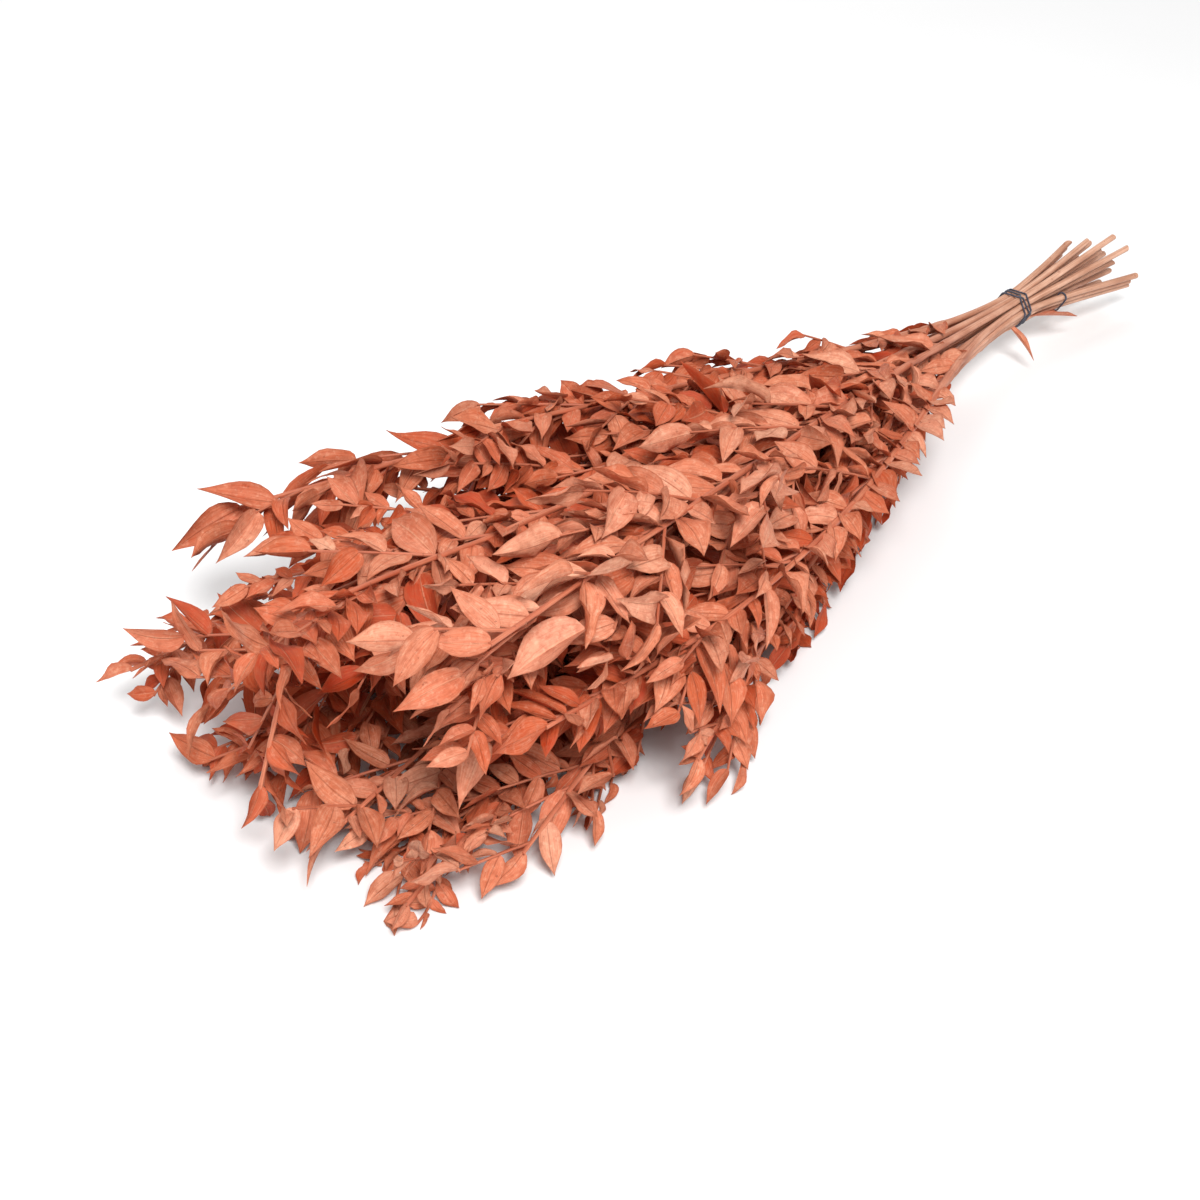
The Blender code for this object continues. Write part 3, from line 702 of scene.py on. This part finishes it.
def fine_outline(share):
    """The rounder sides and the longer drawn-out point that the solid's few facets can't show."""
    rounded = outline(share) ** (FINE_POWER / OUTLINE_POWER - 1) if 0 < share < 1 else 1
    point = max(share - POINT_FROM, 0) / (1 - POINT_FROM)
    return rounded * (1 - POINT_DRAW * point**1.8)


def leaf_mesh(sheet, leaf, rng, tone):
    """One thin leaf: veined faces, a creased midrib, and edges that wave and curl as they dried."""
    wave, phase = rng.uniform(0.02, 0.10), rng.uniform(0, 6.28)
    ripples = rng.uniform(5, 11)
    roll = rng.uniform(-0.25, 0.45)
    hook = rng.uniform(-0.10, 0.16)
    lean = rng.uniform(-0.10, 0.10)
    # tone brings the stem's tone with painted light and painted shade from the foliage towards the light; the spread
    # added here is random
    shade = min(max(tone + rng.gauss(0, TONE_SPREAD), 0.0), 1.0)
    tint = rng.random()
    side = leaf.along.cross(leaf.normal)

    def at(share, across, level):
        narrow = across * fine_outline(share)
        half = leaf.width / 2 * outline(share)
        edge = abs(across) ** 2
        lift = half * edge * (roll + wave * 4 * math.sin(ripples * share + phase + (2.1 if across > 0 else 0)))
        lift += leaf.length * hook * max(share - 0.6, 0) ** 2 * 2
        point = leaf_point(leaf, share, narrow, lift + level)
        point += side * leaf.width * lean * math.sin(math.pi * share)
        point.z = max(point.z, FINE_THICKNESS / 2 + level - sheet.shift.z)
        return point

    points, coords = [], []
    for level in (FINE_THICKNESS / 2, -FINE_THICKNESS / 2):
        points.append(at(0.0, 0, level))
        coords.append((0.0, 0.0))
        for share in LEAF_ROWS:
            for across in LEAF_COLUMNS:
                thin = level * (1 - 0.5 * abs(across))
                points.append(at(share, across, thin))
                coords.append((share, across))
        points.append(at(1.0, 0, level * 0.5))
        coords.append((1.0, 0.0))
    wide, long = len(LEAF_COLUMNS), len(LEAF_ROWS)
    half_count = 2 + wide * long
    faces = []
    for first, flip in ((0, False), (half_count, True)):
        found = [(first, first + 1 + k + 1, first + 1 + k) for k in range(wide - 1)]
        for row in range(long - 1):
            for k in range(wide - 1):
                a = first + 1 + row * wide + k
                found.append((a, a + 1, a + 1 + wide, a + wide))
        last = first + 1 + (long - 1) * wide
        tip = first + half_count - 1
        found += [(last + k, last + k + 1, tip) for k in range(wide - 1)]
        faces += [tuple(reversed(face)) for face in found] if flip else found
    left = [0] + [1 + row * wide for row in range(long)] + [half_count - 1]
    right = [0] + [wide + row * wide for row in range(long)] + [half_count - 1]
    for a, b in zip(left, left[1:]):
        faces.append((a, b, b + half_count, a + half_count))
    for a, b in zip(right, right[1:]):
        faces.append((b, a, a + half_count, b + half_count))
    sheet.add(points, faces, 1, coords, shade, [tint] * len(points))


def node_radii(line, radii, roots):
    """Cane radii, fuller where the canes part past the tie, with a small swelling where each twig or leaf leaves."""
    swollen = []
    for at, radius in zip(line, radii):
        near = min((at - root).length for root in roots) if roots else 1.0
        parting = (TIE_X - NECK_AT - at.x) / NECK_REACH
        radius *= 1 + NECK_SWELL * math.exp(-(parting**2))
        swollen.append(radius * (1 + NODE_SWELL * math.exp(-((near / NODE_REACH) ** 2))))
    return swollen


def shortened(line, values, share):
    """The part of a line, and of the values along it, up to a share of its length."""
    left = share * sum((b - a).length for a, b in zip(line, line[1:]))
    for i in range(1, len(line)):
        left -= (line[i] - line[i - 1]).length
        if left <= 0:
            return line[: i + 1], values[: i + 1]
    return line, values


def leafy_share(shoot, numbers):
    """How much of a shoot stands before its outermost leaf, where the bare end beyond it has dropped off."""
    held = [number for number in numbers if number >= 0]
    return 1 - min(held) / (leaf_count(shoot) + 0.5) if held else BARE_SHARE


def painted_shade_amounts(leaves):
    """How much foliage lies over each leaf, up and towards the light and camera, from 0 in the open to 1 deep in the
    bunch: the amount of painted shade that darkens its colour.
    """
    middles = [leaf_point(leaf, 0.5, 0) for _, _, leaf in leaves]
    tree = KDTree(len(middles))
    for i, at in enumerate(middles):
        tree.insert(at, i)
    tree.balance()
    return [min(len(tree.find_range(at + PAINTED_LIGHT_WAY, PAINTED_SHADE_REACH)) / PAINTED_SHADE_FULL, 1) for at in middles]


def fine_twigs(stems, twigs):
    """More side twigs, between those of the solids."""
    extra = []
    for stem in stems:
        count = CANES[stem.cane].twigs
        placed = grow_tree(stems + twigs + extra)
        for k in range(round(count * FINE_TWIGS)):
            for attempt in range(TWIG_TRIES):
                twig = twig_shoot(stem, k / FINE_TWIGS + 0.5 / FINE_TWIGS, attempt)
                end = twig.points[-1]
                if in_bunch(end) and has_room(end) and clear_of(twig, placed):
                    extra.append(twig)
                    placed = grow_tree(stems + twigs + extra)
                    break
    return extra


def has_room(tip):
    """Whether one more tip may stand here, short of the bunch's ragged end and out of the gap by the last sprig."""
    reach, side = math.hypot(TIE_X - tip.x, tip.y), tip.y / (TIE_X - tip.x)
    ragged = reach > RAGGED_REACH and side > RAGGED_SIDE
    parted = PARTED_REACH[0] < reach < PARTED_REACH[1] and PARTED_SIDE[0] < side < PARTED_SIDE[1]
    parted = parted and tip.z < PARTED_HEIGHT
    return not ragged and not parted


def in_box(leaf, shift):
    """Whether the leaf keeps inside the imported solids' box, or stands out of it by very little."""
    low, high = cad_box
    if not has_room(leaf_point(leaf, 1, 0)):
        return False
    for share, across in ((0.5, -1), (0.5, 1), (1, 0)):
        point = leaf_point(leaf, share, across) + shift
        if any(not low[i] - BOX_MARGIN < point[i] < high[i] + BOX_MARGIN for i in range(3)):
            return False
    return True


def loose_leaf(crowd, shoot, number, count, inside=True):
    """A leaf whose middle clears the others, while its edges and its point may touch them."""
    for attempt in range(LEAF_TRIES):
        leaf = draw_leaf(shoot, number, count, attempt)
        core = leaf._replace(length=leaf.length * CORE_LENGTH, width=leaf.width * CORE_WIDTH)
        points, faces = envelope(core)
        held = in_bunch(leaf_point(leaf, 1, 0)) or not inside
        if held and not crowd.crosses(shoot.name, points, faces):
            crowd.add(f"{shoot.name} leaf {number}", points, faces)
            return leaf
    return None


def edge_leaf(crowd, shoot, number, count):
    """A leaf by the bunch's near edge: an inner one stands up over its cane, and an outer one leaves the bunch."""
    root, _ = along_shoot(shoot, 1 - number / (count + 0.5))
    if TIE_X - root.x < EDGE_FROM:
        return None
    way = (shoot.points[-1] - shoot.points[0]).normalized()
    turn = Matrix.Rotation(EDGE_TURNS[number % 2], 3, way)
    return loose_leaf(crowd, shoot._replace(face=turn @ shoot.face), number, count, inside=False)


def fill_leaves(crowd, stems, twigs, found, shift):
    """Every other leaf: first those that clear the rest, then those that nearly do, then small ones between."""
    taken = {(shoot.name, number) for shoot, number, _ in found}
    extra = []

    def try_leaf(place, shoot, drawn, number, count, known):
        leaf = None if known in taken else place(crowd, drawn, number, count)
        if leaf and in_box(leaf, shift):
            size = random.Random(f"size {known}").uniform(*FILL_SIZE)
            leaf = leaf._replace(length=leaf.length * size, width=leaf.width * size)
            extra.append((shoot, known[1], leaf))
            taken.add(known)

    edge = [stem for stem in stems if stem.cane in EDGE_CANES]
    for shoot in edge:
        drawn = shoot._replace(leaf=shoot.leaf * EDGE_PART)
        count = round(leaf_count(drawn) * EDGE_NUMBERS)
        for number in range(1, count):
            known = (shoot.name, number + 2 * SMALL_NUMBERS)
            try_leaf(edge_leaf, shoot, drawn, number, count, known)
    for place, part in ((place_leaf, 1), (loose_leaf, 1), (loose_leaf, SMALL_PART)):
        for shoot in twigs + stems:
            drawn = shoot._replace(leaf=shoot.leaf * part)
            count = leaf_count(drawn)
            top = count if "twig" in shoot.name else int(count * FILL_END)
            for number in range(0 if part == 1 else 1, top + 1):
                known = (shoot.name, number if part == 1 else number + SMALL_NUMBERS)
                try_leaf(place, shoot, drawn, number, count, known)
    return extra


# Materials


class Nodes:
    """Short calls to build a material's node tree."""

    def __init__(self, name):
        self.material = bpy.data.materials.new(name)
        self.material.use_nodes = True
        self.tree = self.material.node_tree
        self.shader = self.tree.nodes["Principled BSDF"]

    def new(self, kind, **values):
        node = self.tree.nodes.new("ShaderNode" + kind)
        for key, value in values.items():
            setattr(node, key, value)
        return node

    def link(self, source, target):
        self.tree.links.new(source, target)

    def put(self, target, value):
        if isinstance(value, bpy.types.NodeSocket):
            self.link(value, target)
        else:
            target.default_value = value

    def math(self, operation, a, b=0.0, c=0.0, clamp=False):
        node = self.new("Math", operation=operation, use_clamp=clamp)
        for socket, value in zip(node.inputs, (a, b, c)):
            self.put(socket, value)
        return node.outputs[0]

    def mix(self, factor, a, b, blend="MIX"):
        node = self.new("Mix", data_type="RGBA", blend_type=blend)
        self.put(node.inputs["Factor"], factor)
        self.put(node.inputs["A"], a)
        self.put(node.inputs["B"], b)
        return node.outputs["Result"]

    def ramp(self, value, stops):
        node = self.new("ValToRGB")
        ramp = node.color_ramp
        while len(ramp.elements) < len(stops):
            ramp.elements.new(0.5)
        for element, (place, colour) in zip(ramp.elements, stops):
            element.position = place
            element.color = colour if len(colour) == 4 else (*colour, 1)
        self.link(value, node.inputs[0])
        return node.outputs[0]

    def noise(self, scale, detail=3.0, vector=None, roughness=0.55):
        node = self.new("TexNoise")
        node.inputs["Scale"].default_value = scale
        node.inputs["Detail"].default_value = detail
        node.inputs["Roughness"].default_value = roughness
        self.link(vector or self.place(), node.inputs["Vector"])
        return node.outputs["Fac"]

    def place(self):
        return self.new("TexCoord").outputs["Object"]

    def along_across(self):
        split = self.new("SeparateXYZ")
        self.link(self.new("UVMap", uv_map="along_across").outputs[0], split.inputs[0])
        return split.outputs[0], split.outputs[1]

    def leafwise(self, along, across, tint, length_scale, width_scale):
        """Coordinates that run along a leaf, in another part of the pattern for each leaf."""
        joined = self.new("CombineXYZ")
        self.link(self.math("MULTIPLY", along, length_scale), joined.inputs[0])
        self.link(self.math("MULTIPLY", across, width_scale), joined.inputs[1])
        self.link(self.math("MULTIPLY", tint, 60.0), joined.inputs[2])
        return joined.outputs[0]

    def value(self, label):
        return self.new("Attribute", attribute_name=label).outputs["Fac"]

    def bump(self, height, strength, distance, before=None):
        node = self.new("Bump")
        node.inputs["Strength"].default_value = strength
        node.inputs["Distance"].default_value = distance
        self.link(height, node.inputs["Height"])
        if before:
            self.link(before, node.inputs["Normal"])
        return node.outputs[0]


def srgb(red, green, blue):
    """A colour as it is read off a screen, 0 to 255, made linear."""
    found = []
    for part in (red, green, blue):
        part /= 255
        found.append(part / 12.92 if part <= 0.04045 else ((part + 0.055) / 1.055) ** 2.4)
    return (*found, 1.0)


def leaf_material():
    """Dried, dyed leaf: pale to deep salmon, partly dye and partly painted shade from the tone it carries, mottled
    and specked, with faint veins that run its length.
    """
    n = Nodes("ruscus_leaf")
    along, across = n.along_across()
    tone, tint = n.value("tone"), n.value("tint")
    streaks = n.noise(1.6, 4, n.leafwise(along, across, tint, 2.2, 5.5))
    veins = n.noise(1.0, 3, n.leafwise(along, across, tint, 2.6, 19.0))
    broad = n.math("MULTIPLY_ADD", n.noise(38, 3), 0.45, n.math("MULTIPLY", streaks, 0.85))
    # tone holds painted shade: covered leaves take the ramp's darker, more saturated colours, which stand for
    # shadow, and open leaves take its paler ones
    tone_with_painted_shade = n.math("ADD", tone, n.math("SUBTRACT", broad, 0.65), clamp=True)
    dyed = n.ramp(tone_with_painted_shade, ((0.0, srgb(166, 50, 14)), (0.3, srgb(184, 82, 46)),
                          (0.6, srgb(202, 122, 90)), (1.0, srgb(222, 162, 132))))
    blush = n.mix(n.math("MULTIPLY", tint, 0.25), dyed, srgb(184, 90, 68))
    mottle = n.ramp(n.noise(300, 4, None, 0.65), ((0.44, (0, 0, 0)), (0.66, (1, 1, 1))))
    mottled = n.mix(n.math("MULTIPLY", mottle, 0.46), blush, srgb(158, 82, 56))
    faded = n.ramp(n.noise(430, 3, None, 0.6), ((0.54, (0, 0, 0)), (0.70, (1, 1, 1))))
    flecked = n.mix(n.math("MULTIPLY", faded, n.math("MULTIPLY", tone_with_painted_shade, 0.45)), mottled, srgb(234, 188, 158))
    lines = n.ramp(veins, ((0.36, (1, 1, 1)), (0.50, (0, 0, 0))))
    veined = n.mix(n.math("MULTIPLY", lines, 0.22), flecked, srgb(150, 64, 38))
    middle = n.math("SUBTRACT", 1.0, n.math("MULTIPLY", n.math("ABSOLUTE", across), 15.0), clamp=True)
    rib = n.mix(n.math("GREATER_THAN", tint, 0.74), srgb(142, 62, 36), srgb(230, 166, 132))
    ribbed = n.mix(n.math("MULTIPLY", middle, 0.42), veined, rib)
    edge = n.math("POWER", n.math("ABSOLUTE", across), 8.0)
    tip = n.math("POWER", along, 14.0)
    dry = n.math("MULTIPLY", n.math("ADD", edge, tip, clamp=True), 0.60)
    edged = n.mix(dry, ribbed, srgb(152, 76, 48))
    speck = n.ramp(n.noise(620, 3), ((0.64, (0, 0, 0)), (0.72, (1, 1, 1))))
    scatter = n.math("GREATER_THAN", n.noise(60, 2), 0.52)
    marks = n.math("MULTIPLY", n.math("MULTIPLY", speck, scatter), 0.45)
    n.link(n.mix(marks, edged, srgb(104, 48, 32)), n.shader.inputs["Base Color"])
    n.link(n.math("MULTIPLY_ADD", n.noise(200, 2), 0.18, 0.47), n.shader.inputs["Roughness"])
    n.shader.inputs["Specular IOR Level"].default_value = 0.16
    wrinkles = n.bump(n.noise(240, 4, None, 0.6), 0.45, 0.0006)
    ridge = n.bump(veins, 0.4, 0.0005, wrinkles)
    n.link(n.bump(middle, 0.6, 0.0004, ridge), n.shader.inputs["Normal"])
    return n.material


def cane_material():
    """Dyed cane: tan-peach with lengthwise ridges, scars and a darker cast towards the leaves."""
    n = Nodes("ruscus_cane")
    along, around = n.along_across()
    tone = n.value("tone")
    streak = n.noise(3.0, 4, n.leafwise(along, around, tone, 9.0, 9.0))
    blotch = n.noise(45, 3)
    mixed = n.math("ADD", n.math("MULTIPLY", streak, 0.6), n.math("MULTIPLY", blotch, 0.4))
    bare = n.ramp(mixed, ((0.28, srgb(156, 100, 74)), (0.46, srgb(188, 137, 110)),
                          (0.60, srgb(216, 170, 144)), (0.76, srgb(230, 198, 174))))
    leafy = n.ramp(mixed, ((0.28, srgb(146, 66, 40)), (0.5, srgb(186, 102, 72)), (0.74, srgb(214, 142, 108))))
    cane = n.mix(n.value("tint"), bare, leafy)
    scars = n.math("GREATER_THAN", n.noise(260, 2), 0.69)
    n.link(n.mix(n.math("MULTIPLY", scars, 0.45), cane, srgb(140, 74, 48)), n.shader.inputs["Base Color"])
    n.link(n.math("MULTIPLY_ADD", streak, 0.25, 0.48), n.shader.inputs["Roughness"])
    ridges = n.math("SINE", n.math("MULTIPLY", around, 56.0))
    ribbed = n.bump(ridges, 0.35, 0.00015)
    n.link(n.bump(streak, 0.6, 0.0004, ribbed), n.shader.inputs["Normal"])
    return n.material


def cut_material():
    """The cut ends: a pale woody ring round a darker pith."""
    n = Nodes("ruscus_cut_end")
    out, _ = n.along_across()
    grain = n.noise(1400, 3)
    ring = n.math("ADD", out, n.math("MULTIPLY_ADD", grain, 0.5, -0.25))
    wood = n.ramp(ring, ((0.05, srgb(170, 112, 78)), (0.38, srgb(214, 166, 122)),
                         (0.75, srgb(238, 206, 166)), (0.98, srgb(206, 142, 104))))
    n.link(wood, n.shader.inputs["Base Color"])
    n.shader.inputs["Roughness"].default_value = 0.85
    n.link(n.bump(grain, 0.8, 0.0003), n.shader.inputs["Normal"])
    return n.material


def elastic_material():
    """Dark slate elastic: a rubber core under a spiral of fine thread."""
    n = Nodes("dark_elastic")
    along, around = n.along_across()
    twist = n.math("ADD", n.math("MULTIPLY", along, 9000.0), n.math("MULTIPLY", around, 12.5664))
    thread = n.math("SINE", twist)
    worn = n.noise(700, 3)
    lit = n.math("ADD", n.math("MULTIPLY", thread, 0.22), worn)
    colour = n.ramp(lit, ((0.25, srgb(22, 24, 38)), (0.55, srgb(44, 48, 68)), (0.85, srgb(84, 88, 110))))
    n.link(colour, n.shader.inputs["Base Color"])
    n.shader.inputs["Roughness"].default_value = 0.62
    n.shader.inputs["Sheen Weight"].default_value = 0.2
    n.link(n.bump(thread, 0.6, 0.0002), n.shader.inputs["Normal"])
    return n.material


def floor_material():
    """A plain pale surface with the faintest unevenness."""
    n = Nodes("pale_floor")
    tone = n.ramp(n.noise(3, 2), ((0.3, (0.86, 0.86, 0.86)), (0.7, (0.88, 0.88, 0.88))))
    n.link(tone, n.shader.inputs["Base Color"])
    n.shader.inputs["Roughness"].default_value = 0.9
    n.shader.inputs["Specular IOR Level"].default_value = 0.1
    return n.material


def frame_shift():
    """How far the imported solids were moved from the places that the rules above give."""
    low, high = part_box("tie_band")
    return (low + high) / 2 - Vector((TIE_X, 0, TIE_HEIGHT))


def loop_path(centres, radius, count):
    """A loop drawn tightly round the outside of a group of canes."""
    middle = sum(centres, Vector()) / len(centres)
    points = []
    for i in range(count):
        angle = 2 * math.pi * i / count
        way = Vector((0, math.cos(angle), math.sin(angle)))
        furthest = max(centres, key=lambda at: (at - middle).dot(way))
        points.append(furthest + way * radius)
    return points


def elastic(shift):
    """The tie's turns and its end loop."""
    material = elastic_material()
    centres = [slot(cane.row, cane.place) + Vector((TIE_X, 0, TIE_HEIGHT)) for cane in CANES]
    path = loop_path(centres, CANE_RADIUS + GAP + TIE_STRAND / 2, 72)
    band = Sheet(shift)
    for turn in range(TIE_TURNS):
        line = []
        for i, at in enumerate(path):
            swing = math.cos(2 * math.pi * (i / len(path) + turn / TIE_TURNS))
            line.append(at + Vector((TIE_SWING * swing, 0, 0)))
        rod_mesh(band, line, [TIE_STRAND / 2] * len(line), STRAND_SIDES, (0, 0), 0.5, [0.5] * len(line), closed=True)
    held = [cane for cane in CANES if (cane.row, cane.place) in LOOPED]
    ends = [cut_point(cane, LOOP_X - TIE_X) for cane in held]
    line = loop_path(ends, CANE_RADIUS * 1.02 + GAP + LOOP_STRAND / 2, 60)
    loop = Sheet(shift)
    rod_mesh(loop, line, [LOOP_STRAND / 2] * len(line), STRAND_SIDES, (0, 0), 0.5, [0.5] * len(line), closed=True)
    for sheet, name, node in ((band, "elastic_band", "tie_band"), (loop, "elastic_end_loop", "tie_loop")):
        made = sheet.build(name, [material])
        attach(made, "root")
        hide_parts(node)


def foliage(shift):
    """One mesh for each leafy stem: its cane, its twigs and all its leaves."""
    materials = [cane_material(), leaf_material(), cut_material()]
    stems, twigs = all_shoots()
    crowd, found = placed_leaves(stems, twigs)
    more = fine_twigs(stems, twigs)
    add_shoots(crowd, more)
    twigs += more
    found += fill_leaves(crowd, stems, twigs, found, shift)
    numbers = {}
    for shoot, number, _ in found:
        if number < SMALL_NUMBERS:
            numbers.setdefault(shoot.name, []).append(number)
    # Painted shade: each leaf's colour is darkened by the foliage between it and the light.
    leaf_painted_shades = painted_shade_amounts(found)
    for stem in stems:
        rng = random.Random(f"looks {stem.name}")
        # Each stem's tone, lifted by painted light for leaves in the open.
        stem_tone_with_painted_light = STEM_TONES[stem.cane] + PAINTED_LIGHT_LIFT
        sheet = Sheet(shift)
        own_twigs = [twig for twig in twigs if twig.cane == stem.cane]
        own_leaves = [(*row, leaf_painted_shade) for row, leaf_painted_shade in zip(found, leaf_painted_shades) if row[0].cane == stem.cane]
        roots = [twig.points[0] for twig in own_twigs]
        roots += [leaf.root for shoot, _, leaf, _ in own_leaves if shoot.name == stem.name]
        line, radii = smooth_line(stem.points, stem.radii, CANE_STEPS)
        line, radii = shortened(line, radii, leafy_share(stem, numbers.get(stem.name, [])))
        tints = [min(max((TIE_X - at.x) / DYE_RUN, 0), 1) for at in line]
        slant = (rng.uniform(*CUT_SLANT), rng.uniform(0, 2 * math.pi))
        radii = node_radii(line, radii, roots)
        rod_mesh(sheet, line, radii, CANE_SIDES, (0, 2), rng.random(), tints, slant=slant)
        for twig in own_twigs:
            line, radii = smooth_line(twig.points, [radius * FINE_TWIG for radius in twig.radii], 6)
            line, radii = shortened(line, radii, leafy_share(twig, numbers.get(twig.name, [])))
            rod_mesh(sheet, line, radii, TWIG_SIDES, (0, 2), rng.random(), [1.0] * len(line))
        for shoot, number, leaf, leaf_painted_shade in own_leaves:
            leaf = leaf._replace(width=leaf.width * STEM_WIDTHS.get(stem.cane, 1))
            # The leaf's tone: its stem's, less painted shade for the foliage over it.
            leaf_mesh(sheet, leaf, random.Random(f"looks {shoot.name} {number}"), stem_tone_with_painted_light - PAINTED_SHADE_DEPTH * leaf_painted_shade)
        made = sheet.build(f"ruscus_{stem.cane + 1:02d}", materials)
        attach(made, "root")
        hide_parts(f"stem_{stem.cane + 1:02d}")


def area_light(name, place, target, size, power):
    light = bpy.data.lights.new(name, "AREA")
    light.shape = "DISK"
    light.size = size
    light.energy = power
    made = bpy.data.objects.new(name, light)
    made.location = place
    made.rotation_euler = (Vector(target) - Vector(place)).to_track_quat("-Z", "Y").to_euler()
    bpy.context.scene.collection.objects.link(made)


def studio(shift):
    """The pale floor, soft light from above, and the camera at the photo's angle."""
    bpy.ops.mesh.primitive_plane_add(size=FLOOR_SIZE, location=(0, 0, -0.0005))
    floor = bpy.context.active_object
    floor.name = "floor"
    floor.data.materials.append(floor_material())
    area_light("key", (-0.95, -1.1, 1.65), (-0.1, 0, 0), 0.7, 51)
    area_light("fill", (0.5, 1.3, 1.6), (-0.1, 0, 0), 2.0, 14)
    world = bpy.data.worlds.new("studio")
    world.use_nodes = True
    world.node_tree.nodes["Background"].inputs["Color"].default_value = (1, 1, 1, 1)
    world.node_tree.nodes["Background"].inputs["Strength"].default_value = 0.50
    scene = bpy.context.scene
    scene.world = world
    scene.view_settings.view_transform = "Standard"
    lens = bpy.data.cameras.new("camera")
    lens.sensor_width = 36.0
    lens.lens = CAMERA_LENS
    camera = bpy.data.objects.new("camera", lens)
    turn, rise = math.radians(CAMERA_TURN), math.radians(CAMERA_RISE)
    back = Vector((math.sin(turn) * math.cos(rise), -math.cos(turn) * math.cos(rise), math.sin(rise)))
    camera.location = Vector(CAMERA_PLACE) + shift
    camera.rotation_euler = (-back).to_track_quat("-Z", "Y").to_euler()
    scene.collection.objects.link(camera)
    scene.camera = camera


STEM_WIDTHS = {6: 0.78}
STEM_TONES = (0.66, 0.44, 0.48, 0.62, 0.68, 0.44, 0.46, 0.68, 0.72, 0.66, 0.44, 0.48, 0.62, 0.74, 0.52, 0.46,
              0.62, 0.62, 0.44)

shift = frame_shift()
foliage(shift)
elastic(shift)
studio(shift)
